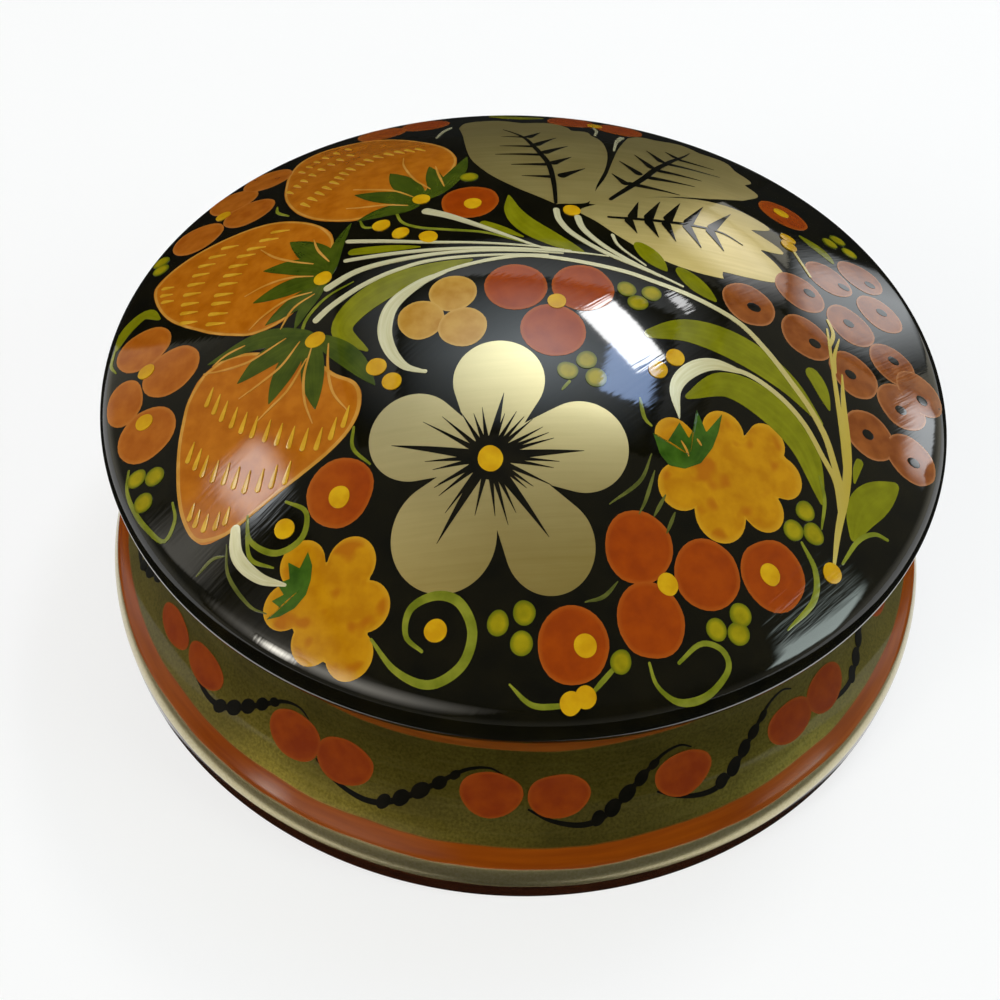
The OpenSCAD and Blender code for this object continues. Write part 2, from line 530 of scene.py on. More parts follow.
def body_bands(tree):
    """The bands from the underside up, each over the one below it."""
    where = on_object(tree)
    height = body_height(tree)
    streaks = noise(tree, stretch(tree, where, LEVEL_STREAKS), detail=3.0)
    grain = noise(tree, where, 2600)
    thin = noise(tree, where, 90, 3.0)
    gold = two_tones(tree, grain, (0.10, 0.080, 0.008), (0.18, 0.145, 0.020))
    gold = laid_over(tree, gold, (0.065, 0.052, 0.006), thin, 0.4, 0.7, 0.5)
    gold = laid_over(tree, gold, (0.22, 0.18, 0.045), streaks, 0.5, 0.75, 0.3)
    edge = two_tones(tree, grain, (0.52, 0.44, 0.22), (0.66, 0.58, 0.34), 0.3, 0.8)
    orange = two_tones(tree, streaks, (0.20, 0.036, 0.001), (0.28, 0.060, 0.002))
    # The orange strip just under the lid is the band's orange made darker: painted shade from the lid above
    # it.
    strip_in_painted_shade = two_tones(tree, streaks, (0.11, 0.026, 0.002), (0.17, 0.045, 0.004))
    tone = two_tones(tree, streaks, (0.018, 0.005, 0.002), (0.04, 0.010, 0.003))
    for level, band in ((UNDER_HIGH, edge), (BAND_LOW, orange), (BAND_HIGH, gold), (STRIP_LOW, strip_in_painted_shade)):
        tone = mix(tree, above(tree, height, level), tone, band)
    return tone

# %% Gilding, and the ground lacquers
EDGE_METAL = 0.9
COVE_METAL = 0.8
PAINT_ROUGH = 0.14
EDGE_ROUGHER = 0.16
COVE_ROUGHER = 0.26
GOLD_COAT = 0.5


def gild(material):
    """Makes the gold bands of the body metal, and the rest plain paint."""
    tree = material.node_tree
    shader = tree.nodes["Principled BSDF"]
    height = body_height(tree)
    on_edge = calc(tree, "SUBTRACT", above(tree, height, UNDER_HIGH), above(tree, height, BAND_LOW))
    in_cove = calc(tree, "SUBTRACT", above(tree, height, BAND_HIGH), above(tree, height, STRIP_LOW))
    metal = calc(tree, "MULTIPLY_ADD", on_edge, EDGE_METAL, calc(tree, "MULTIPLY", in_cove, COVE_METAL))
    rough = calc(tree, "MULTIPLY_ADD", on_edge, EDGE_ROUGHER, PAINT_ROUGH)
    rough = calc(tree, "MULTIPLY_ADD", in_cove, COVE_ROUGHER, rough)
    tree.links.new(metal, shader.inputs["Metallic"])
    tree.links.new(rough, shader.inputs["Roughness"])
    tree.links.new(calc(tree, "MULTIPLY", metal, GOLD_COAT), shader.inputs["Coat Weight"])


black_lacquer = lacquered("black_lacquer", black_ground)
red_lacquer = lacquered("inside_lacquer", inside_red, gloss=0.22, wear=0.6)
band_lacquer = lacquered("banded_lacquer", body_bands, gloss=0.3, wear=0.8, shine=0.25)
gild(band_lacquer)
print("grounds", [m.name for m in (black_lacquer, red_lacquer, band_lacquer)])

# %% Turn the lid and the body
SEGMENTS = 288
lid = grow("lid_turned", profile_mesh("lid_profile", lid_outside, lid_inside), lathe,
           Segments=SEGMENTS, Outside=black_lacquer, Inside=red_lacquer)
body = grow("body_turned", profile_mesh("body_profile", body_outside, body_inside, from_below=True), lathe,
            Segments=SEGMENTS, Outside=band_lacquer, Inside=red_lacquer)
for piece, node, carrier, finish in ((lid, "lid", "lid", "black_lacquer"),
                                     (body, "box_body", "box", "gold_lacquer")):
    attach(piece, carrier)
    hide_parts(node)

# %% [markdown]
# ## Paint films
# Paint has thickness. Each mark is drawn flat in plan, laid on the curved wood by a tree, and given a film
# that stands a few hundredths of a millimetre proud and is let into the ground, so that it is a closed skin
# that catches the light at its edge. Later coats lie higher, which keeps overlapping marks apart.

# %% Laying flat marks on the lid and on the cove
def arc_height(tree, distance, mid_distance, mid_height, radius):
    """Height of an arc over a given distance from its middle."""
    off = calc(tree, "SUBTRACT", distance, mid_distance * MM)
    square = calc(tree, "SUBTRACT", (radius * MM) ** 2, calc(tree, "MULTIPLY", off, off))
    rise = calc(tree, "SQRT", calc(tree, "MAXIMUM", square, 0.0))
    return calc(tree, "ADD", rise, mid_height * MM)


def choose(tree, value, limit, before, after):
    """One value up to a limit, and another past it."""
    past = calc(tree, "GREATER_THAN", value, limit)
    return add(tree, "GeometryNodeSwitch", {"Switch": past, "False": before, "True": after},
               input_type="FLOAT").outputs[0]


def lid_laying_tree():
    """Lifts flat points onto the lid: to the crown, the slope or the rim, by how far out they are."""
    tree, given, result = geometry_tree("lay_on_lid")
    flat = parts(tree, position(tree))
    squares = [calc(tree, "MULTIPLY", flat[axis], flat[axis]) for axis in "XY"]
    reach = calc(tree, "SQRT", calc(tree, "ADD", *squares))
    crown = arc_height(tree, reach, 0, CROWN_MID_H, CROWN_R)
    rim = arc_height(tree, reach, RIM_MID_R, RIM_MID_H, RIM_R)
    past_crown = calc(tree, "SUBTRACT", reach, CROWN_END_R * MM)
    slope = calc(tree, "MULTIPLY_ADD", past_crown, -math.tan(SLOPE), CROWN_END_H * MM)
    outer = choose(tree, reach, SLOPE_END_R * MM, slope, rim)
    height = choose(tree, reach, CROWN_END_R * MM, crown, outer)
    on_lid = combined(tree, X=flat["X"], Y=flat["Y"], Z=height)
    tree.links.new(placed(tree, given["Geometry"], Position=on_lid), result[0])
    return tree


def cove_laying_tree():
    """Wraps flat points round the cove. X is the way round from the front, at the neck, and Y the height."""
    tree, given, result = geometry_tree("lay_on_cove")
    flat = parts(tree, position(tree))
    below_lid = calc(tree, "SUBTRACT", flat["Y"], SHOULDER_H * MM)
    square = calc(tree, "SUBTRACT", (COVE_R * MM) ** 2, calc(tree, "MULTIPLY", below_lid, below_lid))
    reach = calc(tree, "SUBTRACT", (NECK_R + COVE_R) * MM, calc(tree, "SQRT", square))
    from_front = calc(tree, "DIVIDE", flat["X"], NECK_R * MM)
    angle = calc(tree, "SUBTRACT", from_front, math.pi / 2)
    on_cove = polar(tree, reach, angle, Z=flat["Y"])
    tree.links.new(placed(tree, given["Geometry"], Position=on_cove), result[0])
    return tree


lay_on_lid = lid_laying_tree()
lay_on_cove = cove_laying_tree()
print("laying trees", len(lay_on_lid.nodes), len(lay_on_cove.nodes), "nodes")

# %% The film of paint
SINK = 0.06
FILM_SEAM = 0.0005 * MM


def film_tree():
    """Gives a flat mark that lies on a surface a closed skin, let in below and standing proud above."""
    tree, given, result = geometry_tree("paint_film", Film="Float", Paint="Material")
    into = vector_calc(tree, "MULTIPLY", normal(tree), (-SINK * MM,) * 3)
    sunk = placed(tree, given["Geometry"], Offset=into)
    raised = add(tree, "GeometryNodeExtrudeMesh", {"Mesh": sunk, "Offset Scale": 0.0, "Individual": False},
                 mode="FACES").outputs
    film = calc(tree, "ADD", calc(tree, "ADD", given["Film"], SINK * MM), attribute(tree, "lift"))
    out = add(tree, "ShaderNodeVectorMath", {0: normal(tree), "Scale": film}, operation="SCALE").outputs[0]
    skin = placed(tree, raised["Mesh"], Selection=raised["Top"], Offset=out)
    back = add(tree, "GeometryNodeFlipFaces", {0: sunk}).outputs[0]
    joined = add(tree, "GeometryNodeJoinGeometry")
    for layer in (skin, back):
        tree.links.new(layer, joined.inputs[0])
    tree.links.new(finished(tree, joined.outputs[0], FILM_SEAM, given["Paint"]), result[0])
    return tree


paint_film = film_tree()
print("film tree", len(paint_film.nodes), "nodes")

# %% [markdown]
# Three kinds of marks are enough for the whole painting. A stroke follows a spine and swells and tapers as
# the brush is pressed. A blob is a stamped disc. A patch is a filled outline. Strokes and blobs repeat, so
# trees make them; each ends by calling the two trees above.

# %% What every mark's tree has
def mark_tree(kind, surface):
    """The start of a mark's tree, with the inputs that all marks have."""
    return geometry_tree(kind + "_" + surface.name, Film="Float", Paint="Material")


def facing_up(tree, mesh):
    """The mesh with the faces that look down turned over."""
    down = calc(tree, "LESS_THAN", parts(tree, normal(tree))["Z"], 0.0)
    return add(tree, "GeometryNodeFlipFaces", {"Mesh": mesh, "Selection": down}).outputs[0]


def finish_mark(tree, geometry, given, surface, result):
    """Ends a mark's tree: brush coordinates as a UV map, then the surface, then the film."""
    brush_uv = combined(tree, X=attribute(tree, "along"), Y=attribute(tree, "across"))
    mapped = stored(tree, geometry, "brush", brush_uv, "FLOAT2", "CORNER")
    laid = add(tree, "GeometryNodeGroup", {0: mapped}, node_tree=surface)
    filmed = add(tree, "GeometryNodeGroup", {
        0: laid.outputs[0], "Film": given["Film"], "Paint": given["Paint"]}, node_tree=paint_film)
    tree.links.new(filmed.outputs[0], result[0])

# %% A tree for strokes
RIBBON_POINTS = 5


def stroke_tree(surface):
    """Spines with a half width at each point become flat ribbons on a surface."""
    tree, given, result = mark_tree("strokes", surface)
    share = add(tree, "GeometryNodeSplineParameter").outputs["Factor"]
    spine = add(tree, "GeometryNodeMeshToCurve", {0: given["Geometry"]})
    upright = add(tree, "GeometryNodeSetCurveNormal", {0: spine.outputs[0]}, mode="Z_UP")
    run = stored(tree, upright.outputs[0], "along", share)
    width = add(tree, "GeometryNodeCurvePrimitiveLine", {"Start": (-1.0, 0, 0), "End": (1.0, 0, 0)})
    split = add(tree, "GeometryNodeResampleCurve", {0: width.outputs[0], "Count": RIBBON_POINTS})
    side = stored(tree, split.outputs[0], "across", share)
    ribbon = add(tree, "GeometryNodeCurveToMesh", {
        "Curve": run, "Profile Curve": side, "Scale": attribute(tree, "half_width")})
    finish_mark(tree, facing_up(tree, ribbon.outputs[0]), given, surface, result)
    return tree

# %% Trees for blobs and patches
DISC_SIDES = 28
DISC_RINGS = 4
DISC_SEAM = 0.001
SHAKE = 0.8 * MM
SHAKE_GRAIN = 170.0


def unit_disc(tree):
    """A disc of radius 1: a grid wrapped round its middle, with brush coordinates round it and outwards."""
    sheet = add(tree, "GeometryNodeMeshGrid", {
        "Size X": 1.0, "Size Y": 1.0, "Vertices X": DISC_SIDES + 1, "Vertices Y": DISC_RINGS + 1})
    flat = parts(tree, position(tree))
    around = calc(tree, "ADD", flat["X"], 0.5)
    outward = calc(tree, "ADD", flat["Y"], 0.5)
    marked = stored(tree, stored(tree, sheet.outputs[0], "across", outward), "along", around)
    wrapped = polar(tree, outward, calc(tree, "MULTIPLY", around, math.tau))
    return merged(tree, placed(tree, marked, Position=wrapped), DISC_SEAM)


def blob_tree(surface):
    """Points with a radius, a stretch and a turn become stamped, slightly uneven discs on a surface."""
    tree, given, result = mark_tree("blobs", surface)
    points = add(tree, "GeometryNodeMeshToPoints", {"Mesh": given["Geometry"]})
    radius = attribute(tree, "blob_radius")
    size = combined(tree, X=calc(tree, "MULTIPLY", radius, attribute(tree, "stretch")), Y=radius, Z=1.0)
    stamped = add(tree, "GeometryNodeInstanceOnPoints", {
        "Points": points.outputs[0], "Instance": unit_disc(tree), "Scale": size,
        "Rotation": combined(tree, Z=attribute(tree, "turn"))})
    real = add(tree, "GeometryNodeRealizeInstances", {0: stamped.outputs[0]})
    uneven = add(tree, "ShaderNodeTexNoise", {"Scale": SHAKE_GRAIN, "Detail": 1.0}).outputs["Color"]
    push = vector_calc(tree, "SUBTRACT", uneven, (0.5, 0.5, 0.5))
    push = vector_calc(tree, "MULTIPLY", push, (SHAKE, SHAKE, 0.0))
    shaken = placed(tree, real.outputs[0], Offset=push)
    finish_mark(tree, facing_up(tree, shaken), given, surface, result)
    return tree


def patch_tree(surface):
    """Filled outlines, already drawn as flat meshes, are laid on a surface."""
    tree, given, result = mark_tree("patches", surface)
    finish_mark(tree, given["Geometry"], given, surface, result)
    return tree


lid_strokes, lid_blobs, lid_patches = (make(lay_on_lid) for make in (stroke_tree, blob_tree, patch_tree))
cove_strokes, cove_blobs = (make(lay_on_cove) for make in (stroke_tree, blob_tree))
print("mark trees", [t.name for t in (lid_strokes, lid_blobs, lid_patches, cove_strokes, cove_blobs)])

# %% [markdown]
# The painter fills a brush from one pot at a time, and so does this script: all marks of one paint are
# collected in a pot and become one mesh for the trees. A line is given by the few points that its shape
# needs, and a smooth curve is drawn through them. A stroke gets more points at its rounded ends, where its
# width changes fast.

# %% Smooth lines
def smooth(points, step, closed=False):
    """A smooth line through given points, with a point about every step."""
    knots = [np.array(p, float) for p in points]
    if closed:
        knots = [knots[-1]] + knots + knots[:2]
    else:
        knots = [2 * knots[0] - knots[1]] + knots + [2 * knots[-1] - knots[-2]]
    line = []
    for a, b, c, d in zip(knots, knots[1:], knots[2:], knots[3:]):
        pieces = max(2, int(np.linalg.norm(c - b) / step))
        for t in np.arange(pieces) / pieces:
            line.append(0.5 * (2 * b + (c - a) * t + (2 * a - 5 * b + 4 * c - d) * t ** 2
                               + (3 * b - a - 3 * c + d) * t ** 3))
    if not closed:
        line.append(knots[-2])
    return np.array(line)


def distances(line):
    """How far along a line each of its points is."""
    return np.concatenate([[0], np.cumsum(np.linalg.norm(np.diff(line, axis=0), axis=1))])


def points_at(wanted, at, line):
    """The points at some distances along a line, given the distances of its own points."""
    return np.stack([np.interp(wanted, at, line[:, axis]) for axis in (0, 1)], axis=1)

# %% A pot of marks
LIFT_STEP = 0.0008


class Pot:
    """The marks of one paint: flat points, the edges and faces between them, and numbers at each point."""

    def __init__(self):
        self.points = []
        self.edges = []
        self.faces = []
        self.values = {}
        self.count = 0

    def keep(self, points, **values):
        """Adds a mark's points, a little higher than the mark before, and returns the first one's number."""
        first = len(self.points)
        self.points += [tuple(p) for p in points]
        values["lift"] = self.count * LIFT_STEP * MM
        for label, numbers in values.items():
            self.values.setdefault(label, []).extend(np.broadcast_to(numbers, len(points)))
        self.count += 1
        return first

    def mesh(self, name):
        """The marks as one flat mesh, with an attribute for each kind of number."""
        mesh = bpy.data.meshes.new(name)
        mesh.from_pydata([(x * MM, y * MM, 0) for x, y in self.points], self.edges, self.faces)
        for label, numbers in self.values.items():
            layer = mesh.attributes.new(label, "FLOAT", "POINT")
            layer.data.foreach_set("value", np.array(numbers, np.float32))
        return mesh

# %% Pots of strokes
STROKE_STEP = 0.5
SHORT_STEP = 0.4
FINE_STEP = 0.05
CAP_MARGIN = 0.1
CAP_POINTS = 6
LEAST_GAP = 0.012
LEAST_HALF = 0.02


class Strokes(Pot):
    """A pot of brush strokes: spines, with the width at the start, in the middle and at the end."""

    def draw(self, path, widths, step=STROKE_STEP):
        fine = smooth(path, FINE_STEP)
        at = distances(fine)
        length = at[-1]
        start, middle, end = (w / 2 for w in widths)
        even = np.linspace(0, length, math.ceil(length / step) + 1)
        between = even[(even > start + CAP_MARGIN) & (even < length - end - CAP_MARGIN)]
        rounding = 1 - np.cos(np.linspace(0, math.pi / 2, CAP_POINTS))
        run = np.concatenate([between, start * rounding, length - end * rounding])
        run = np.unique(run.clip(0, length))
        run = np.append(run[:-1][np.diff(run) > LEAST_GAP], length)
        t = run / length
        half = start * (1 - t) * (1 - 2 * t) + 4 * middle * t * (1 - t) + end * t * (2 * t - 1)
        for cap, left in ((start, run), (end, length - run)):
            share = np.clip(left / max(cap, LEAST_HALF), 0, 1)
            half = half * np.sqrt(np.clip(1 - (1 - share) ** 2, 0.0, 1))
        line = points_at(run, at, fine)
        first = self.keep(line, half_width=np.maximum(half, LEAST_HALF) * MM)
        self.edges += [(first + i, first + i + 1) for i in range(len(line) - 1)]

# %% Pots of blobs and patches
class Blobs(Pot):
    """A pot of stamped blobs: middle, radius, and how far and which way each is drawn out."""

    def stamp(self, x, y, radius, stretch=1.0, turn=0.0):
        self.keep([(x, y)], blob_radius=radius * MM, stretch=stretch, turn=math.radians(turn))


PATCH_SIDES = 120
PATCH_RINGS = 12


class Patches(Pot):
    """A pot of filled outlines, each filled by rings that shrink towards a middle."""

    def fill(self, outline, middle):
        loop = np.vstack([outline, outline[:1]])
        at = distances(loop)
        edge = points_at(np.linspace(0, at[-1], PATCH_SIDES, endpoint=False), at, loop)
        after = np.roll(edge, -1, axis=0)
        area = np.sum(edge[:, 0] * after[:, 1] - edge[:, 1] * after[:, 0])
        if area < 0:
            edge = edge[::-1]
        middle = np.array([middle], float)
        shares = np.arange(1, PATCH_RINGS + 1) / PATCH_RINGS
        rings = [middle + (edge - middle) * share for share in shares]
        along = np.append(0.5, np.tile(np.arange(PATCH_SIDES) / PATCH_SIDES, PATCH_RINGS))
        across = np.append(0.0, np.repeat(shares, PATCH_SIDES))
        first = self.keep(np.vstack([middle] + rings), along=along, across=across)
        for side in range(PATCH_SIDES):
            beside = (side + 1) % PATCH_SIDES
            self.faces.append((first, first + 1 + side, first + 1 + beside))
            for ring in range(PATCH_RINGS - 1):
                inner = first + 1 + ring * PATCH_SIDES
                outer = inner + PATCH_SIDES
                self.faces.append((inner + side, outer + side, outer + beside, inner + beside))


def paint(name, pot, tree, material, film_mm, carrier):
    """Makes a pot's marks into one painted piece that rides on its body."""
    piece = grow(name, pot.mesh(name + "_flat"), tree, Film=film_mm * MM, Paint=material)
    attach(piece, carrier)

# %% [markdown]
# ## Strawberries
# Three ripe strawberries fill the left of the lid. Each is an orange patch with a thin pale outline, rows
# of short yellow dashes for seeds, and dark green sepals that fan out from a yellow dot. The outlines have
# only the points that their shape needs; the dashes are spaced along a line by a loop.

# %% How a strawberry is painted
strawberries, sepals, fruit_edges, outlines, seeds, dots = (
    Patches(), Strokes(), Strokes(), Strokes(), Strokes(), Blobs())
SEED_WIDTHS = (0.66, 0.5, 0.12)
SEED_LINE_STEP = 0.2
OUTLINE_STEP = 1.0
OUTLINE_EVERY = 3
OUTLINE_INSET = 0.98
SEPAL_START = 0.15
SEPAL_FOOT = 1.5
SEPAL_FULL = 1.2
SEPAL_TIP = 0.1
VEIN_WIDTHS = (0.16, 0.36, 0.12)
CALYX_DOT_R = 1.2


def pointing(degrees):
    """A unit step in a direction on the plan."""
    return np.array((math.cos(math.radians(degrees)), math.sin(math.radians(degrees))))


def dashes(path, count, length, lean):
    """A row of dashes with their thick ends on a line. The angle lean says where their thin ends point."""
    line = smooth(path, SEED_LINE_STEP)
    reach = pointing(lean) * length
    for k in range(count):
        thick = line[round(k / (count - 1) * (len(line) - 1))]
        seeds.draw([thick, thick + reach * 0.5, thick + reach], SEED_WIDTHS, SHORT_STEP)


def strawberry(outline, middle, line_width, calyx, leaflets, veins):
    """Its patch, a pale line inside the edge, sepals with a width each, pale veins and a dot."""
    edge = smooth(outline, OUTLINE_STEP, closed=True)
    strawberries.fill(edge, middle)
    inner = np.array(middle) + (edge - np.array(middle)) * OUTLINE_INSET
    fruit_edges.draw([*inner[::OUTLINE_EVERY], inner[0]], (line_width,) * 3)
    for spine, width in leaflets:
        start = np.array(calyx) + SEPAL_START * (np.array(spine[0]) - np.array(calyx))
        sepals.draw([start] + spine, (SEPAL_FOOT, SEPAL_FULL * width, SEPAL_TIP))
    for vein in veins:
        outlines.draw(vein, VEIN_WIDTHS)
    dots.stamp(*calyx, CALYX_DOT_R)

# %% Three strawberries and their seeds
strawberry(
    outline=[(-39.2, 32.2), (-38.7, 27.4), (-37.9, 22.7), (-36.3, 18.3), (-34.2, 14.6), (-31.6, 11.8),
             (-28.7, 10), (-24.6, 8.9), (-19.5, 10.4), (-14.8, 15.6), (-12.4, 20.5), (-12, 24.4),
             (-12.9, 27.9), (-14.6, 31.3), (-17.7, 35.3), (-21.1, 39.2), (-24.6, 42), (-28.1, 43.3),
             (-32, 43.3), (-35.9, 41.8), (-38.5, 38.3)],
    middle=(-26, 27), line_width=0.3, calyx=(-16.1, 12.2),
    leaflets=[([(-13.7, 14.8), (-11.6, 20), (-10.6, 25.6)], 2.2),
              ([(-14.2, 15.3), (-15, 19.2), (-15.9, 22.7)], 2.2),
              ([(-16.9, 13.9), (-19, 17.4), (-21.6, 21.9)], 3.0),
              ([(-17.2, 12.4), (-22, 14.4), (-26.1, 16.4)], 2.6),
              ([(-17.7, 10.7), (-21.1, 10), (-24.6, 8.7)], 2.2)],
    veins=[[(-13.1, 15.5), (-14.4, 20), (-15, 22.7)],
           [(-15, 15), (-17.7, 18.7), (-19.8, 24), (-20.3, 27.9)],
           [(-17.2, 13.1), (-20.3, 15.7), (-23.3, 17), (-26.6, 18.3)],
           [(-17.7, 10.9), (-21.1, 11.8), (-24.6, 12.2), (-26.8, 12.7)]])
strawberry(
    outline=[(-54.7, 6.5), (-53.2, 9.5), (-50.6, 11.9), (-46.9, 13.7), (-43.2, 14.6), (-39.9, 14.7),
             (-36.9, 13.9), (-34, 12.4), (-31.4, 10.6), (-28.8, 8), (-27.5, 5.4), (-27.2, 1), (-28.5, -4.5),
             (-31.5, -9), (-35.1, -10.5), (-37.3, -10.3), (-40.3, -9.2), (-43.2, -7.7), (-45.8, -5.9),
             (-48.8, -3.7), (-51.4, -0.9), (-53.6, 2.8)],
    middle=(-41, 2.5), line_width=0.35, calyx=(-27.7, -3.1),
    leaflets=[([(-27, -1.3), (-26.6, 3.6), (-25.4, 8.4)], 1.5),
              ([(-27.7, 0.2), (-30.6, 3.6), (-34, 7)], 3.2),
              ([(-28.8, -0.9), (-32.5, 0.8), (-36.9, 1.7)], 2.6),
              ([(-29, -2.9), (-32.9, -3.5), (-37.2, -4.6)], 2.6),
              ([(-28.4, -5), (-31, -6.8), (-34.6, -9.5)], 2.4),
              ([(-28.4, -5.7), (-29.5, -8.3), (-30.3, -11.4)], 1.6)],
    veins=[[(-27.3, 0.2), (-29.3, 3.2), (-30.4, 6.1)],
           [(-29.5, 0.4), (-32.5, 1.9), (-35.8, 4.3), (-38.4, 7.3)],
           [(-29.1, -2.2), (-32.5, -1.4), (-35.8, -1.6), (-38.8, -2.7)],
           [(-28.8, -5.3), (-32.1, -5.7), (-35.1, -7.6), (-36.9, -9.6)],
           [(-28.4, -5.7), (-31, -7.6), (-32.3, -10.9)]])
strawberry(
    outline=[(-42.3, -15), (-43.7, -18.4), (-43.9, -22.8), (-43.7, -26.5), (-42.9, -31), (-41.8, -34.7),
             (-40.1, -37.6), (-38.1, -39.1), (-36, -38.6), (-34.6, -38), (-29.7, -34.5), (-26, -32),
             (-22.3, -29.1), (-20.5, -26.5), (-20, -24.3), (-20.3, -22.1), (-21.6, -20.6), (-23.8, -19.5),
             (-27.5, -16.5), (-33, -14.5), (-38.5, -13.2)],
    middle=(-34, -25), line_width=0.45, calyx=(-27.1, -13.9),
    leaflets=[([(-29.4, -12.8), (-35, -11.9), (-42, -13.5)], 2.4),
              ([(-29.7, -13.6), (-33.4, -15.2), (-37, -18)], 2.9),
              ([(-29.2, -14.7), (-30.9, -18.6), (-32.1, -22.2)], 2.5),
              ([(-27.3, -15.2), (-26.7, -19.6), (-25.8, -24.1)], 2.5),
              ([(-25.7, -14.5), (-22, -17.6), (-18.5, -21.8)], 2.4)],
    veins=[[(-31.2, -12.6), (-35, -14.7), (-37.1, -15.2), (-39.9, -15.2), (-42.3, -14.9)],
           [(-36.9, -12.1), (-39.4, -12.8), (-41.2, -14.1)],
           [(-29.2, -13.6), (-31.2, -16.9), (-33.8, -18.9), (-36.4, -20.4)],
           [(-27.9, -16.5), (-29.7, -20.6), (-31.8, -22.8), (-33.5, -24.4)],
           [(-27.5, -15), (-27.9, -19.1), (-27.3, -22.8), (-25.9, -26)],
           [(-25.3, -14.7), (-24.9, -18.4), (-23.8, -22.1), (-21.6, -24.9)]])
for path, count, length, lean in (
        ([(-34.4, 18.1), (-32.7, 20.9), (-30.9, 24), (-29.6, 27.7), (-26.4, 31.4), (-23, 32.4),
          (-19, 32.2)],
         15, 2.8, -51),
        ([(-37.9, 24.6), (-36, 29), (-33.4, 33), (-30.4, 36.4)], 8, 2.2, -51),
        ([(-37.6, 33), (-35.4, 37.4), (-31.4, 40.6)], 6, 2.0, -51),
        ([(-37.7, 11.3), (-40, 9.1), (-41.7, 8), (-42.7, 6.1), (-43.4, 3), (-43.8, -0.5), (-43.8, -5.9)],
         11, 3.2, -17),
        ([(-45.4, 11.5), (-48.2, 8.7), (-48.8, 5.8), (-49.1, 2.1), (-48.6, -1.8), (-48.2, -3.9)], 9, 3.0,
         -15),
        ([(-53.4, 5.8), (-53.2, 4.1), (-52.6, 2.4)], 3, 2.2, -15),
        ([(-40.9, -20.4), (-38.1, -23.4), (-34.9, -25.8), (-31.8, -27.4), (-28.3, -28.9), (-24.9, -29.5),
          (-22, -27.1)],
         13, 2.9, 79),
        ([(-42.1, -28), (-39.2, -30.8), (-36.3, -32.1), (-33.3, -33.6), (-28.6, -33.2)], 10, 2.9, 79),
        ([(-40.5, -35.8), (-39, -37.3), (-37.3, -37.6), (-35.7, -37.1)], 5, 2.3, 79)):
    dashes(path, count, length, lean)
print("strawberries", strawberries.count, "sepals", sepals.count, "seeds", seeds.count)

# %% [markdown]
# ## The flower
# One big five-petalled flower in pale gold, with a black star of rays over the petals and a yellow dot in
# the middle. A petal is a circle with two tangents drawn to a point near the flower's middle, so three
# sizes describe it.

# %% Petals and rays
petals, gold_leaves, ink, ink_blobs = Patches(), Patches(), Strokes(), Blobs()
FLOWER = np.array((-3.9, -31.5))
PETAL_FOOT_R = 2.3
PETAL_FOOT_OUT = 2.0
PETAL_POINTS = 60
PETAL_FOOT_POINTS = 16
RAY_FOOT = 1.2
RAY_BEND = 0.6
LONG_RAY_WIDTHS = (1.3, 0.75, 0.04)
SHORT_RAY_WIDTHS = (0.8, 0.38, 0.04)
FLOWER_EYE_R = 2.55
FLOWER_DOT_R = 1.5


def petal(direction, length, radius):
    """The outline of one petal: a large arc outside, a small one at the foot, and tangents between them."""
    foot = FLOWER + pointing(direction) * PETAL_FOOT_OUT
    middle = FLOWER + pointing(direction) * (length - radius)
    apart = length - radius - PETAL_FOOT_OUT
    lean = math.degrees(math.acos((radius - PETAL_FOOT_R) / apart))
    outer = np.linspace(direction + 180 + lean, direction + 540 - lean, PETAL_POINTS)
    inner = np.linspace(direction + 180 - lean, direction + 180 + lean, PETAL_FOOT_POINTS)
    outline = [middle + radius * pointing(a) for a in outer]
    outline += [foot + PETAL_FOOT_R * pointing(a) for a in inner]
    petals.fill(np.array(outline), middle)


def ray(direction, length, widths):
    """One black ray from the flower's middle."""
    out = pointing(direction)
    path = [FLOWER + out * RAY_FOOT, FLOWER + out * length * RAY_BEND, FLOWER + out * length]
    ink.draw(path, widths, SHORT_STEP)


for direction, length, radius in ((86.6, 15.6, 5.6), (11.4, 16.9, 5.6), (-50.6, 17.6, 5.3),
                                  (-117.5, 16.3, 6.2), (163.8, 15.0, 5.45)):
    petal(direction, length, radius)
for direction, length in ((81, 8.3), (8, 11.4), (-48.5, 11.5), (-119, 11.2), (172.3, 11.9)):
    ray(direction, length, LONG_RAY_WIDTHS)
for direction, length in ((152, 9.3), (140, 7.75), (124, 6.6), (184, 7.6), (193, 6.75), (209, 6.6),
                          (0, 8.4), (20, 8.1), (26, 7.75), (33, 7.4), (45, 7.0), (-6, 7.8), (-20.5, 8.1),
                          (-30, 6.3), (-36, 5.8), (-60, 7.2), (-70, 8.1), (-80, 6.8), (-100, 6.8),
                          (-126, 8.0), (-141, 7.2), (-150, 7.2), (74, 5.7), (63, 6.5), (53, 6.5),
                          (101, 6.3), (112, 5.8)):
    ray(direction, length, SHORT_RAY_WIDTHS)
ink_blobs.stamp(*FLOWER, FLOWER_EYE_R)
dots.stamp(*(FLOWER + (0.1, -0.1)), FLOWER_DOT_R)
print("petals", petals.count, "rays", ink.count)

# %% [markdown]
# ## Gold leaves
# Three broad leaves meet at a yellow dot. Their margins are toothed towards the tip, so an outline is given
# in stretches: each is smooth, and the corners between them stay sharp. Veins are black strokes that start
# wide at the midrib and run out to nothing.

# %% Leaves and veins
LEAF_STEP = 0.6
MIDRIB_FOOT = 0.6
MIDRIB_TIP = 0.12
SIDE_VEIN_TIP = 0.05
LEAF_DOT_R = 1.25


def leaf(stretches, middle):
    """A leaf whose outline is smooth along each stretch and sharp between them."""
    gold_leaves.fill(np.vstack([smooth(s, LEAF_STEP)[:-1] for s in stretches]), middle)


def midrib(path, width):
    """The black line from the leaf's foot to its tip."""
    ink.draw(path, (width * MIDRIB_FOOT, width, MIDRIB_TIP))


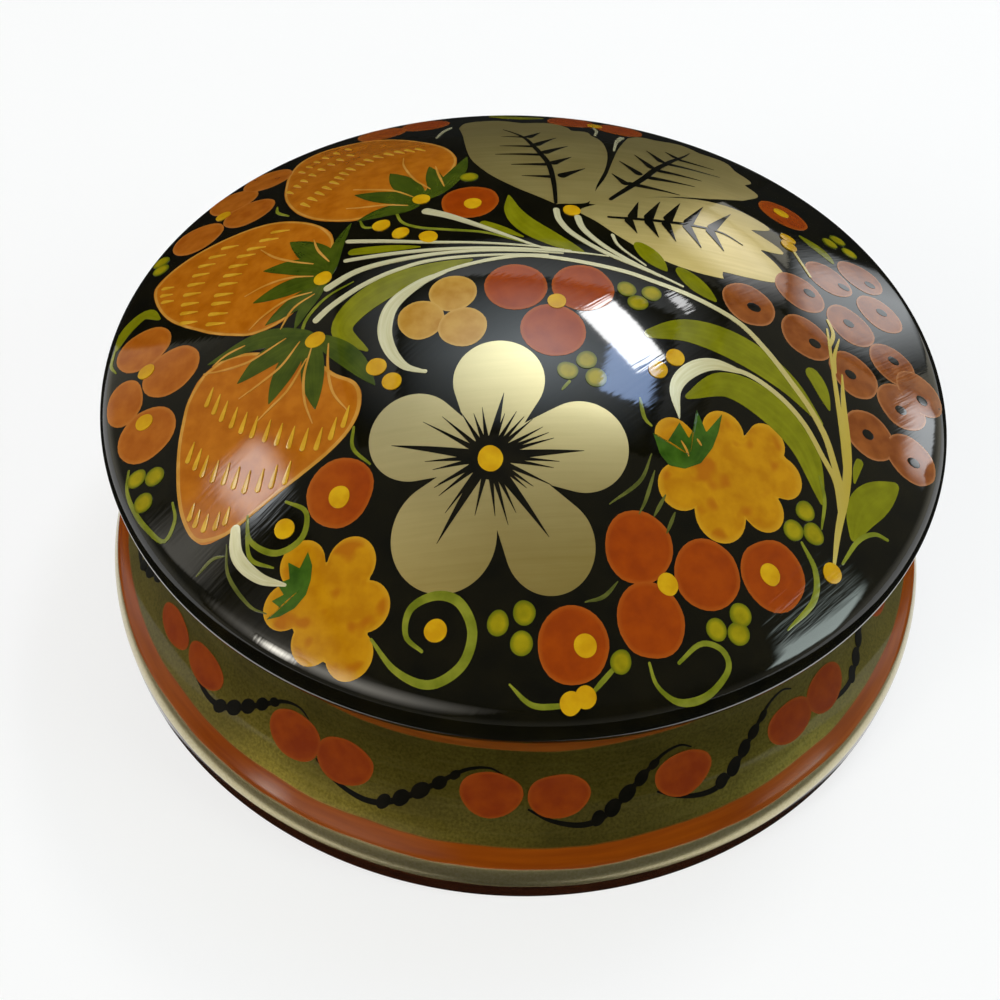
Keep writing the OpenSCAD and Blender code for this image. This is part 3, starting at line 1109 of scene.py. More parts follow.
def side_veins(lines, width):
    """Black wedges from the midrib out towards the margin."""
    for start, end in lines:
        bend = (np.array(start) + np.array(end)) / 2
        ink.draw([start, bend, end], (width, width * 0.5, SIDE_VEIN_TIP), SHORT_STEP)


leaf([[(2.7, 11), (0.5, 12.5), (-3, 15), (-6.5, 18.5), (-9, 22.5), (-10.3, 26), (-11.3, 31.5), (-12.3, 39),
       (-13.3, 45)],
      [(-13.3, 45), (-12.3, 49.6), (-7.5, 51.2), (-3.2, 49)],
      [(-3.2, 49), (1.5, 50.4), (4.2, 47.5), (5, 44.4)], [(5, 44.4), (7.4, 45), (8.2, 41.8)],
      [(8.2, 41.8), (9.3, 39.5), (10, 35.5), (10.3, 30), (9.8, 24), (8.5, 18), (7.3, 12.5), (2.7, 11)]],
     (-1, 31))
midrib([(2.7, 11), (2.3, 17), (1.5, 23), (0.3, 27), (-1, 31), (-2.3, 35), (-4, 38.5), (-6, 42)], 0.8)
side_veins([((3, 19), (6.8, 22.8)), ((1.8, 23.3), (4.8, 26.8)), ((0.5, 27.5), (4.3, 32)),
            ((-0.8, 31), (2.5, 36.5)), ((-2, 35.5), (0, 40))],
           1.6)
side_veins([((2.5, 18.8), (-2.3, 18.6)), ((1.3, 23), (-4, 22.4)), ((0.3, 26.8), (-6.5, 26.4)),
            ((-0.8, 30.5), (-6, 30.4)), ((-2, 35.8), (-6, 36))],
           1.0)
leaf([[(7.3, 12), (8.4, 16.4), (9.8, 20.9), (10.9, 27), (12, 33.7), (13.4, 40.9), (14.3, 45.3)],
      [(14.3, 45.3), (16.5, 48.4), (19, 48.4)], [(19, 48.4), (23.5, 49.4), (26.6, 46.6)],
      [(26.6, 46.6), (30.8, 45.2), (32, 41)], [(32, 41), (34.2, 37.4), (32.6, 34.4)],
      [(32.6, 34.4), (34.4, 31), (31.2, 25.9)],
      [(31.2, 25.9), (28.4, 23.7), (25.1, 21.4), (20.7, 19.2), (15.1, 16.2), (9.6, 12.3), (7.3, 12)]],
     (19, 29))
midrib([(10.2, 13.7), (12.9, 18.1), (15.4, 22.6), (17.3, 27), (19.3, 31.4), (21.2, 35.9), (23.2, 40.3),
        (24.6, 44.2)],
       0.95)
side_veins([((12.9, 19.8), (20.7, 19.7)), ((15.9, 23.4), (23.4, 24.5)), ((17.6, 27.3), (24.8, 28.1)),
            ((19.6, 32), (28.4, 33.7)), ((21.8, 37), (27.9, 37.3))],
           1.3)
side_veins([((12.9, 19.2), (10.7, 22.3)), ((15.1, 23.7), (12, 28.1)), ((17.1, 27.6), (14.6, 32.8)),
            ((19, 32), (16.8, 37.6)), ((21.8, 37.6), (20.1, 40.3))],
           1.5)
leaf([[(6.2, 9.2), (8.4, 7.6), (11.2, 5.1), (14.6, 2.8), (18.4, 1.2), (22.3, 0.6), (25.7, 0.8)],
      [(25.7, 0.8), (25.6, 1.6), (25.7, 2.3)],
      [(25.7, 2.3), (29.6, 2.8), (33.4, 3.9), (35.1, 6.4), (34, 8.7), (31.8, 10.8)],
      [(31.8, 10.8), (34, 11.3), (35.9, 12.3), (34.8, 13.7), (31, 15.6)],
      [(31, 15.6), (34, 17.6), (34.3, 18.9), (31.8, 20.3), (29, 20.9), (25.1, 20.4), (20.5, 18.7),
       (14, 15.6), (6.4, 10.6), (6.2, 9.2)]],
     (21, 10.5))
midrib([(9.8, 9.1), (12.3, 9.5), (17.9, 10.6), (21.8, 11.4), (26.2, 11.7), (29.3, 10.2)], 0.55)
side_veins([((13.2, 9.5), (14.3, 14.5)), ((15.4, 10.1), (17.5, 15.9)), ((18.2, 10.9), (20.5, 16.9)),
            ((21.1, 11.2), (24, 17.8)), ((24.6, 11.7), (28.3, 18.4)), ((12.6, 9.5), (13.9, 6.3)),
            ((15.4, 10.1), (16.9, 6.3)), ((17.9, 10.6), (19.3, 6.3)), ((20.9, 11.2), (22.9, 6.3)),
            ((24.3, 11.7), (26.2, 7.1))],
           1.6)
dots.stamp(5, 9.6, LEAF_DOT_R)
print("gold leaves", gold_leaves.count, "ink strokes", ink.count)

# %% [markdown]
# ## Cloudberries and yellow blossoms
# A cloudberry is a cluster of round drupelets painted as one lumpy yellow patch. Its outline is found by
# sending a ray out from the middle at each angle and keeping the furthest drupelet that the ray leaves.

# %% Cloudberries
cloudberries, calyxes, blossoms = Patches(), Patches(), Blobs()
CLOUDBERRY_RAYS = 240
BLOSSOM_R = 3.05
CALYX_LINE_WIDTHS = (0.1, 0.3, 0.1)


def cloudberry(middle, lobes):
    """One outline round overlapping circles, and the patch inside it."""
    outline = []
    for a in np.linspace(0, math.tau, CLOUDBERRY_RAYS, endpoint=False):
        ray_out = np.array((math.cos(a), math.sin(a)))
        exits = []
        for x, y, radius in lobes:
            to_lobe = np.array((x, y)) - middle
            along = to_lobe @ ray_out
            miss = to_lobe @ to_lobe - along ** 2
            if miss < radius ** 2:
                exits.append(along + math.sqrt(radius ** 2 - miss))
        outline.append(np.array(middle) + ray_out * max(exits))
    cloudberries.fill(np.array(outline), middle)


cloudberry((24.6, -29.5),
           [(18.3, -26.3, 2.4), (24.6, -24.2, 2.7), (30.3, -24, 2.5), (32.2, -27.9, 2.75),
            (29.7, -32.6, 2.7), (24.2, -34.6, 3.2), (19.2, -32.3, 2.8), (24.6, -29.5, 5.6)])
calyxes.fill(np.array([(15.7, -26.4), (16.6, -28.9), (17.8, -30.1), (19.7, -30.1), (21.7, -29),
                       (23.2, -26.7), (24, -24.4), (24.5, -21.9), (22.4, -24.9), (21.2, -22.2),
                       (20.9, -24.5), (20.2, -26.2), (19, -24.4), (17.5, -27.2)]),
             (20.3, -28.3))
cloudberry((-21.7, -47.4),
           [(-25.1, -42.8, 2.75), (-19.2, -43, 2.9), (-17, -47.8, 2.8), (-18.5, -52.8, 2.8),
            (-22.9, -51.3, 2.6), (-26.7, -47.4, 2.6), (-21.7, -47.4, 4.5)])
calyxes.fill(np.array([(-24.6, -41.4), (-23.9, -43), (-23.9, -44.6), (-24.3, -46.2), (-25.5, -47.6),
                       (-27.2, -48.4), (-28.8, -48.6), (-27.3, -47.4), (-28.4, -46.6), (-27, -46),
                       (-28, -44.7), (-26.5, -44.3), (-26.9, -42.4), (-25.4, -43.2)]),
             (-25.1, -45.6))
outlines.draw([(19.2, -26.7), (19.8, -27.6), (20.2, -28.5)], CALYX_LINE_WIDTHS)
outlines.draw([(21.2, -26), (21.5, -26.4), (21.8, -26.8)], CALYX_LINE_WIDTHS)
for x, y in ((-10, -8.1), (-13.7, -12.4), (-8.3, -13.7)):
    blossoms.stamp(x, y, BLOSSOM_R)
print("cloudberries", cloudberries.count, "blossoms", blossoms.count)

# %% [markdown]
# ## Berries
# Berries are stamped with the end of a round stick, so they are all about 8 mm across and a little uneven.
# The ripe ones are orange-red, some with a yellow dot; the bunch on the right is duller, with a pale rim
# and a dark eye. One berry at the left wraps over the rim. The plan shortens what lies on so steep a place,
# so that berry is drawn narrower.

# %% Stamped berries
berries, grapes, eyes, buds = Blobs(), Blobs(), Blobs(), Blobs()
BERRY_R = 4.05
RIM_BERRY_STRETCH = 0.68
RIM_BERRY_TURN = 16.6
DOT_R = 1.22
GRAPE_R = 3.75
EYE_R = 0.75
EYE_STRETCH = 1.2
BUD_R = 1.3
for x, y in ((-9.2, 11), (-2, -7), (6.6, -6.2), (3, -13.7), (-21.5, -34.9), (14.3, -40.1), (22.7, -41.6),
             (16, -47.7), (30.9, -40.1), (7.1, -51.1), (-47.5, -12.6), (-53, -6.8), (-49, -22.1),
             (-43.2, 20.8), (-50.6, 17.4), (-47.2, 27.2), (-42.8, 33), (-26.3, 47), (-19.3, 50), (5, 53.2),
             (13.2, 51.4), (37.8, 26.6)):
    berries.stamp(x, y, BERRY_R)
berries.stamp(-53.6, -16, BERRY_R, RIM_BERRY_STRETCH, RIM_BERRY_TURN)
for x, y in ((-8.7, 10.4), (3.4, -9.1), (-21.5, -35.5), (18, -43.6), (30.5, -40.1), (8.4, -51),
             (-51.4, -11.5), (-49.7, -20.2), (-47.8, 22.6), (37.6, 27), (-21, 6.5), (-18, 4.2),
             (-14.2, 2.8), (-18.6, -19.2), (-16.5, -21.4), (-28, -38.4), (-8.8, -50.4), (7.2, -57),
             (8.8, -56.3), (38.5, -38), (18.5, -15.4), (16.3, -17.6), (37, 15.4), (37.2, 17.8), (9, 52)):
    dots.stamp(x, y, DOT_R)
for x, y, eye_x, eye_y in ((29, -2.6, 29.8, -3), (37.2, 4, 38.7, 4.7), (37.2, -4.9, 38.3, -5.5),
                           (44, -8, 43.6, -8.3), (44.8, 1.7, 44.6, 2), (42.8, 11, 45.2, 10.7),
                           (49, 16, 50.4, 15), (50.6, 8, 51, 8.6), (51, -2.5, 51.2, -1.6),
                           (51.2, -10, 51, -10.8), (45.4, -17.2, 45, -17.2), (51.4, -18.4, 51.8, -18.8),
                           (54.6, -6, 55, -7)):
    grapes.stamp(x, y, GRAPE_R)
    eyes.stamp(eye_x, eye_y, EYE_R, EYE_STRETCH)
for x, y in ((-49, -28.5), (-46.4, -28.8), (-47.3, -32.1), (-1.7, -49.5), (1.3, -48.3), (1.2, -51.4),
             (12.7, -52.4), (23.8, -47.6), (26.7, -45.5), (26.5, -47.6), (35.3, -31.3), (33.6, -34.2),
             (36.2, -33.9), (12.3, -5.4), (13.7, -7.6), (15.5, -5.5), (5.1, -19.7), (7.3, -17.8),
             (8.6, -20.2), (-9.8, 18), (-55, 11.4), (-55.6, 13.6), (47, 25.6), (45.2, 23.2), (48.4, 22.8)):
    buds.stamp(x, y, BUD_R)
print("berries", berries.count, "grapes", grapes.count, "dots", dots.count, "buds", buds.count)

# %% [markdown]
# ## Stems, comma leaves and tendrils
# A fan of cream strokes grows from the lower right, sweeps over the crown and opens towards the
# strawberries. Long green leaves lie along it like commas: pressed hard in the middle and lifted at the
# ends. Thin green tendrils curl in the gaps.

# %% Cream stems
cream = Strokes()
for path, widths in (
        ([(38.9, -37), (39.7, -32.5), (41, -27.2), (41.7, -21.8), (41.8, -14), (42.1, -9)],
         (0.4, 1.2, 0.2)),
        ([(40.2, -30.6), (39.7, -26.2), (38, -23.2), (35.7, -19.6), (32.5, -16.9), (28.4, -15.1),
          (24.4, -14.9)],
         (0.7, 0.75, 0.6)),
        ([(27.6, -15), (23.4, -15), (20.2, -17), (18.5, -20), (19, -23.9)], (0.4, 2.0, 0.1)),
        ([(40.8, -28.4), (39.6, -23.6), (38.6, -20.2), (36.7, -17), (33.9, -13.6), (30.8, -10),
          (27.2, -6.8), (21.7, -4.6), (16.1, -3.2), (11.1, -2.1), (1.1, -1.1), (-3.9, -1.7), (-10, -3.7),
          (-14.4, -6.2), (-17.5, -9.6), (-18.2, -13.4), (-17.2, -16.8), (-15, -19.6), (-12.2, -20.4)],
         (1.0, 0.66, 0.5)),
        ([(-11, -4.3), (-14.4, -6.2), (-17.5, -9.6), (-18.2, -13.4), (-17.2, -16.8), (-15.1, -19.4),
          (-12.6, -20.3)],
         (0.3, 1.9, 0.3)),
        ([(41.4, -25.6), (41.2, -19.6), (40.9, -13.3), (40.7, -6.9), (40.7, -1.4)], (0.8, 0.7, 0.3)),
        ([(41, -9.4), (41.3, -6.1), (42.5, -2.4)], (0.5, 0.5, 0.2)),
        ([(10, 0.3), (0, 0.2), (-12, 0.1), (-25.3, -0.2)], (0.2, 0.55, 0.65)),
        ([(4, 0.6), (-7.8, 1.3), (-14.4, 1.8), (-21.1, 3.1), (-25.6, 4.1)], (0.2, 0.45, 0.7)),
        ([(5, 0.5), (1.1, 0.7), (-3.3, 2.7), (-7.8, 5.2), (-12.2, 7.7), (-15.6, 9.3)], (0.2, 0.65, 1.4)),
        ([(4, -0.2), (-7.8, -0.4), (-16.1, -1.2), (-22.8, -2.6), (-27.2, -5.4)], (0.2, 0.6, 1.15)),
        ([(2, -0.7), (-11.7, -1.8), (-17.2, -3.2), (-21.7, -5.4), (-25.6, -8.4), (-27.8, -10.9)],
         (0.2, 0.6, 1.0)),
        ([(2.7, 9.9), (3.3, 6.9), (5.4, 3.9), (10, 0.7), (17, -2)], (0.9, 0.7, 0.3)),
        ([(5.6, 8.6), (6.6, 5.4), (9.6, 2.1), (14, -0.6), (20, -3)], (1.0, 0.6, 0.3)),
        ([(10.4, 5.2), (11.5, 2.6), (15, -0.4)], (0.5, 0.35, 0.2)),
        ([(36.4, 19), (38, 13.5), (39.6, 9)], (0.3, 0.5, 0.4)),
        ([(41, 0.6), (41.6, -2), (40.6, -5)], (0.4, 0.6, 0.5)),
        ([(-34.2, -37.2), (-33.4, -41), (-30.4, -43.8), (-26.8, -45)], (1.1, 1.5, 0.3)),
        ([(-16.3, 38), (-15.6, 43), (-14.6, 46)], (0.3, 0.5, 0.4)),
        ([(11.4, 33), (12.2, 40), (13.4, 45)], (0.3, 0.6, 0.9)),
        ([(8.8, 43), (9.2, 47), (8.8, 50)], (0.4, 0.5, 0.4))):
    cream.draw(path, widths)
print("cream strokes", cream.count)

# %% Comma leaves
leaves = Strokes()
for path, widths in (
        ([(38.4, -18.6), (33.4, -14.2), (27, -11.3), (20.4, -10.6), (14.6, -12.6)], (0.3, 4.7, 1.0)),
        ([(37.8, -29.8), (35.4, -22.8), (30.6, -18.8), (25, -17.6), (19.8, -20.8)], (0.5, 4.7, 0.5)),
        ([(41.6, -33.2), (43.6, -28.4), (48.9, -23.2)], (0.5, 4.5, 0.6)),
        ([(36.9, -10.4), (38.4, -12.6), (39.6, -16)], (1.8, 2.1, 0.2)),
        ([(43.6, -21.6), (42.8, -23.6), (42.4, -25.4)], (1.0, 1.0, 0.2)),
        ([(-3.9, 12.7), (-3.1, 8.6), (-1.1, 5.4), (2.4, 2.7), (6.7, 0.4)], (0.2, 3.2, 0.4)),
        ([(-7.4, 5.8), (-5, 4.6), (-1.4, 2.7)], (1.0, 1.2, 0.2)),
        ([(13.6, 4.2), (15.2, 2.4), (17.8, -0.6)], (1.0, 2.8, 0.3)),
        ([(19.2, 0.6), (21, -1.2), (24.4, -4.2)], (1.0, 2.7, 0.3)),
        ([(-7.8, -2.1), (-13.9, -4.3), (-18.9, -6.5), (-22.8, -10.1), (-23.6, -13.4), (-20, -16.7)],
         (0.3, 4.1, 0.3)),
        ([(-24.9, 1.5), (-21, 1.25), (-15, 0.9)], (1.2, 1.4, 0.2)),
        ([(-51.8, -1.4), (-54.6, 0.8), (-57, -1.6), (-57.8, -5.4)], (0.3, 2.2, 0.3)),
        ([(39.6, 21), (43, 18.6), (44.6, 16.4)], (0.4, 2.2, 0.4)),
        ([(-9, 56), (-4, 54.6), (0.4, 55.4)], (0.4, 2.2, 0.4))):
    leaves.draw(path, widths)
print("comma leaves", leaves.count)

# %% Tendrils and hairs
tendrils, hairs = Strokes(), Strokes()
HAIR_WIDTHS = (0.12, 0.45, 0.12)
for path, widths in (
        ([(-16.2, -51.2), (-13, -54.6), (-9, -56), (-5.5, -54), (-4.5, -50.5), (-6.2, -47.5), (-9, -46.8),
          (-11.8, -48.2), (-12.1, -51), (-10, -52.7)],
         (0.3, 1.15, 0.35)),
        ([(15.9, -52), (17, -54.4), (19.5, -55.6), (23, -54.4), (25.3, -51.6), (24.6, -49.6), (22, -49.3),
          (19.3, -51.8)],
         (0.3, 0.7, 0.4)),
        ([(-32.8, -36.2), (-32, -39.4), (-28.6, -41.2), (-25.6, -39.8), (-25.4, -36.8), (-28.2, -35.2)],
         (0.3, 0.75, 0.3)),
        ([(-32.6, -38.6), (-31.6, -41.6), (-28.6, -42.9)], (0.3, 0.5, 0.2)),
        ([(0, -55.6), (2.8, -57.6), (6.6, -57.4)], (0.2, 0.6, 0.5)),
        ([(9.6, -55.8), (10.8, -54.4), (12.2, -52.8)], (0.4, 0.6, 0.4)),
        ([(-50.4, -26.9), (-50, -30), (-48.2, -33.2), (-46, -35.8), (-43.4, -37.8), (-42.4, -35.3),
          (-43.2, -32.8)],
         (0.3, 0.6, 0.3)),
        ([(-19.2, 9.3), (-18.1, 6.8), (-15.6, 5.2), (-11.7, 4.3), (-6.7, 3.5), (-2.8, 2.1), (1.1, 0.7)],
         (0.4, 0.45, 0.15)),
        ([(-29.2, -13.4), (-28.9, -10.1), (-26.7, -6.8), (-23.3, -4.6)], (0.4, 0.45, 0.15)),
        ([(34.6, -35.2), (36.4, -38.4), (36, -42), (32.6, -46)], (0.3, 0.8, 0.2)),
        ([(40, -36.6), (42.4, -33), (44.8, -31.4), (46.8, -31.6)], (0.3, 0.6, 0.4)),
        ([(-20.6, -27), (-20.4, -29.8), (-18, -32)], (0.3, 0.45, 0.2)),
        ([(-57.9, -5), (-57.7, -8), (-56.4, -9.9)], (0.3, 0.5, 0.2)),
        ([(-38.4, 19.6), (-37.8, 17.2), (-35.6, 14.8)], (0.2, 0.5, 0.2)),
        ([(-24.2, 8.6), (-23.4, 6.8), (-21.8, 6.4)], (0.2, 0.45, 0.2)),
        ([(5.4, -21), (4.4, -22.4)], (0.3, 0.4, 0.2)),
        ([(37.4, -26), (38, -29), (37.4, -33)], (0.2, 0.5, 0.2)),
        ([(14, -22), (14.6, -24.6), (15.6, -25.6)], (0.2, 0.5, 0.2))):
    tendrils.draw(path, widths)
for path in ([(15.6, -29), (14.2, -32.6), (10.6, -35.8)], [(16, -31), (15, -34.6), (14.2, -36.4)],
             [(17.4, -33.6), (16, -36.4)], [(18.6, -35.4), (17.6, -38)],
             [(12, -44), (10.4, -45.8), (8.2, -46.6)],
             [(-35, -39.4), (-34.2, -43.2), (-31.2, -46.8), (-28.8, -48)],
             [(-38.4, -42.8), (-36.6, -41), (-35, -40.8)]):
    hairs.draw(path, HAIR_WIDTHS)
print("tendrils", tendrils.count, "hairs", hairs.count)

# %% [markdown]
# ## Paints
# A brush leaves streaks along its stroke. Each painted mark carries a UV map made with it: U runs along the
# mark and V across it, or U round a blob and V outwards. A second shader group turns that into streaks and
# blotches.

# %% Brush marks as a shader group
STREAK_DRIFT = 40.0
BLOTCH_GRAIN = 420


def brush_group():
    """Streaks along a mark, blotches all over it, and how far out from its middle a spot lies."""
    tree, given, result = shader_group("brush_marks", {"Along": 3.0, "Across": 30.0},
                                       ("Streaks", "Blotches", "Middle"))
    mark = parts(tree, add(tree, "ShaderNodeUVMap", uv_map="brush").outputs["UV"])
    spot = on_object(tree)
    streak = combined(tree, X=calc(tree, "MULTIPLY", mark["X"], given["Along"]),
                      Y=calc(tree, "MULTIPLY", mark["Y"], given["Across"]))
    drift = vector_calc(tree, "MULTIPLY", spot, (STREAK_DRIFT,) * 3)
    tree.links.new(noise(tree, vector_calc(tree, "ADD", streak, drift), detail=3.0), result["Streaks"])
    tree.links.new(noise(tree, spot, BLOTCH_GRAIN, 3.0), result["Blotches"])
    tree.links.new(mark["Y"], result["Middle"])
    return tree


brush = brush_group()
print("brush group", len(brush.nodes), "nodes")

# %% [markdown]
# Each pot has its own paint: two tones that the blotches and streaks run between, and where the photo shows
# it a paler or darker tone at the edge. The gold is tin powder under amber lacquer, so it is partly metal.

# %% Colours that the brush leaves
DAB_GRAIN = 330
OVER_SHARE = 0.8
GOLD_GRAIN = (70, 1500, 70)
GOLD_GRAIN_TURN = -0.12
# Painted light on the petals: the pale tone where they face the light, the brown tone where they are shaded.
PETAL_PAINTED_SHADE = (0.30, 0.19, 0.03)
PETAL_PAINTED_LIGHT = (0.88, 0.80, 0.50)
PETAL_TILT = -0.35
PETAL_NEAR = -0.045
PETAL_FAR = -0.015
STEM_GOLD_FROM = 0.020
STEM_GOLD_TO = 0.042
BERRY_RED_FROM = -0.018
BERRY_YELLOW_TO = -0.042


def brush_marks(tree, along, across):
    """The brush group's results in a material."""
    marks = add(tree, "ShaderNodeGroup", node_tree=brush)
    marks.inputs["Along"].default_value = along
    marks.inputs["Across"].default_value = across
    return marks.outputs


def painted(dark, light, edge=None, edge_from=0.8, streaky=0.0, dabs=None):
    """A paint between two tones, in blotches or streaks, with dabs and another tone at the edge of a blob."""
    def colour(tree):
        marks = brush_marks(tree, 2.0, 7.0)
        blotches = calc(tree, "MULTIPLY", marks["Blotches"], 1.0 - streaky)
        uneven = calc(tree, "MULTIPLY_ADD", marks["Streaks"], streaky, blotches)
        tone = two_tones(tree, uneven, dark, light, 0.34, 0.66)
        if dabs:
            patches = noise(tree, on_object(tree), DAB_GRAIN, 1.0)
            tone = laid_over(tree, tone, dabs, patches, 0.58, 0.70, OVER_SHARE)
        if edge:
            tone = laid_over(tree, tone, edge, marks["Middle"], edge_from, 1.0, OVER_SHARE)
        return tone
    return colour


def gold_leaf(tree):
    """Metal paint rubbed over the wood: pale and dark lines along the grain, and thin places."""
    where = on_object(tree)
    grain = noise(tree, stretch(tree, where, GOLD_GRAIN, GOLD_GRAIN_TURN), detail=4.0, rough=0.6)
    tone = two_tones(tree, grain, (0.50, 0.39, 0.115), (0.64, 0.51, 0.185), 0.25, 0.75)
    return laid_over(tree, tone, (0.44, 0.32, 0.08), noise(tree, where, 160), 0.35, 0.7, 0.35)


def petal_gold(tree):
    """The same gold, half mixed with painted light: browner and darker on the near petals, paler on the far
    and left ones.
    """
    axes = parts(tree, on_object(tree))
    away = calc(tree, "MULTIPLY_ADD", axes["X"], PETAL_TILT, axes["Y"])
    # Painted light and shade across the flower, from the near petals to the far and left ones.
    rubbed_and_painted_light = two_tones(tree, away, PETAL_PAINTED_SHADE, PETAL_PAINTED_LIGHT, PETAL_NEAR, PETAL_FAR)
    return mix(tree, 0.5, gold_leaf(tree), rubbed_and_painted_light)


def stem_cream(tree):
    """Cream strokes that turn golden towards the stalk on the right."""
    pale = two_tones(tree, brush_marks(tree, 3.0, 6.0)["Streaks"], (0.55, 0.50, 0.27), (0.70, 0.66, 0.42))
    to_right = parts(tree, on_object(tree))["X"]
    return laid_over(tree, pale, (0.50, 0.36, 0.035), to_right, STEM_GOLD_FROM, STEM_GOLD_TO)


def berry_orange(tree):
    """Red-orange berries that grow yellower towards the left of the lid."""
    red = painted((0.25, 0.034, 0.001), (0.31, 0.048, 0.001), (0.36, 0.080, 0.006), 0.86)(tree)
    yellow = painted((0.31, 0.075, 0.003), (0.40, 0.115, 0.008), (0.44, 0.15, 0.02), 0.86)(tree)
    to_right = parts(tree, on_object(tree))["X"]
    return mix(tree, ramp(tree, to_right, BERRY_YELLOW_TO, BERRY_RED_FROM), yellow, red)

# %% Paint materials
GOLD_FINISH = {"gloss": 0.34, "coat": 0.7, "bump": 0.02}
BORDER_FINISH = {"gloss": 0.3, "shine": 0.12}
MIXED_PAINTS = {
    "berry_orange": (berry_orange, {}),
    "petal_gold": (petal_gold, {"metal": 0.7, **GOLD_FINISH}),
    "leaf_gold": (gold_leaf, {"metal": 0.76, **GOLD_FINISH}),
    "stem_cream": (stem_cream, {"gloss": 0.22, "metal": 0.2, "coat": 0.8}),
}
PLAIN_PAINTS = {
    "strawberry_orange": ((0.35, 0.095, 0.002), (0.45, 0.14, 0.006), (0.46, 0.16, 0.012), 0.93),
    "grape_red": ((0.18, 0.042, 0.005), (0.27, 0.075, 0.012), (0.42, 0.17, 0.06), 0.90),
    "cloudberry_yellow": ((0.40, 0.155, 0.001), (0.50, 0.225, 0.003), (0.54, 0.28, 0.012), 0.9, 0.0,
                          (0.36, 0.10, 0.002)),
    "blossom_ochre": ((0.40, 0.19, 0.02), (0.50, 0.28, 0.05), (0.54, 0.33, 0.08), 0.86),
    "leaf_green": ((0.14, 0.14, 0.001), (0.21, 0.205, 0.004), None, 0.8, 0.35),
    "sepal_green": ((0.028, 0.048, 0.002), (0.062, 0.085, 0.005), None, 0.8, 0.35),
    "calyx_green": ((0.022, 0.060, 0.003), (0.055, 0.125, 0.010), None, 0.8, 0.2),
    "ink_black": ((0.002, 0.002, 0.001), (0.006, 0.005, 0.002)),
    "seed_yellow": ((0.50, 0.25, 0.008), (0.62, 0.36, 0.025)),
    "outline_orange": ((0.46, 0.20, 0.02), (0.56, 0.28, 0.05)),
    "tendril_green": ((0.12, 0.14, 0.006), (0.22, 0.23, 0.02)),
    "hair_green": ((0.065, 0.072, 0.012), (0.12, 0.125, 0.024)),
    "dot_yellow": ((0.50, 0.25, 0.002), (0.62, 0.36, 0.006)),
    "bud_green": ((0.22, 0.18, 0.002), (0.34, 0.27, 0.004), (0.05, 0.085, 0.003), 0.6),
    "border_berry": ((0.18, 0.022, 0.001), (0.23, 0.036, 0.001), (0.25, 0.050, 0.002), 0.86),
    "border_ink": ((0.002, 0.002, 0.001), (0.005, 0.004, 0.002)),
}
paints = {name: lacquered(name, colour, **finish) for name, (colour, finish) in MIXED_PAINTS.items()}
for name, tones in PLAIN_PAINTS.items():
    finish = BORDER_FINISH if name.startswith("border") else {}
    paints[name] = lacquered(name, painted(*tones), **finish)
print("paints", len(paints))

# %% [markdown]
# Now every pot meets its paint. The order does not matter to Blender, but the film's height does: what the
# painter put on last, such as seeds and dots, stands highest.

# %% Painted pieces on the lid
for name, pot, tree, tint, film_mm in (
        ("gold_petals", petals, lid_patches, "petal_gold", 0.03),
        ("gold_leaves", gold_leaves, lid_patches, "leaf_gold", 0.03),
        ("strawberry_fruit", strawberries, lid_patches, "strawberry_orange", 0.03),
        ("cloudberry_fruit", cloudberries, lid_patches, "cloudberry_yellow", 0.03),
        ("blossom_ochre", blossoms, lid_blobs, "blossom_ochre", 0.03),
        ("berries_stamped", berries, lid_blobs, "berry_orange", 0.04),
        ("grapes_stamped", grapes, lid_blobs, "grape_red", 0.04),
        ("comma_leaves", leaves, lid_strokes, "leaf_green", 0.035),
        ("tendrils", tendrils, lid_strokes, "tendril_green", 0.05),
        ("fruit_edges", fruit_edges, lid_strokes, "outline_orange", 0.045),
        ("sepals", sepals, lid_strokes, "sepal_green", 0.06),
        ("berry_calyxes", calyxes, lid_patches, "calyx_green", 0.06),
        ("stems", cream, lid_strokes, "stem_cream", 0.07),
        ("hair_lines", hairs, lid_strokes, "hair_green", 0.05),
        ("ink_lines", ink, lid_strokes, "ink_black", 0.06),
        ("flower_eye", ink_blobs, lid_blobs, "ink_black", 0.08),
        ("sepal_veins", outlines, lid_strokes, "outline_orange", 0.08),
        ("seed_dashes", seeds, lid_strokes, "seed_yellow", 0.09),
        ("grape_eyes", eyes, lid_blobs, "ink_black", 0.08),
        ("buds", buds, lid_blobs, "bud_green", 0.09),
        ("yellow_dots", dots, lid_blobs, "dot_yellow", 0.13)):
    paint(name, pot, tree, paints[tint], film_mm, "lid")

# %% [markdown]
# ## The border round the body
# Pairs of stamped berries hang on a wavy vine that runs all the way round the cove. One unit is drawn in
# degrees and heights, and repeated; the units that the photo shows keep their hand-painted places and
# sizes, and the rest are spread evenly over the part that it hides. The vine dries first, so the berries
# lie over it.

# %% Border units
vine, vine_berries, vine_dots = Strokes(), Blobs(), Blobs()
SEEN_UNITS = [[(-54.8, 14.4, 2.0), (-46.3, 14.8, 2.3)], [(-29.0, 15.8, 3.05), (-21.2, 15.75, 3.05)],
              [(-1.5, 16.2, 2.9), (7.3, 16.0, 2.9)], [(24.2, 15.8, 2.9)],
              [(41.6, 14.8, 2.7), (49.2, 14.9, 2.8)]]
HIDDEN_COUNT = 10
BORDER_H = 15.8
PAIR_HALF = 4.3
BERRY_TALL = 2.8
BERRY_WIDE = 3.8
VINE_SPINE = [(0, 14.4), (0.14, 12.9), (0.32, 12.2), (0.46, 13.2), (0.64, 16.2), (0.80, 19.1), (0.92, 19.8),
              (1, 18.9)]
VINE_DOTS = [(0.40, 12.6, 0.75), (0.49, 13.7, 0.9), (0.58, 15.2, 0.9), (0.67, 16.7, 0.8), (0.75, 18.1, 0.6)]
VINE_WIDTHS = (0.25, 0.75, 0.2)
VINE_STEP = 0.45
VINE_BEFORE = 4
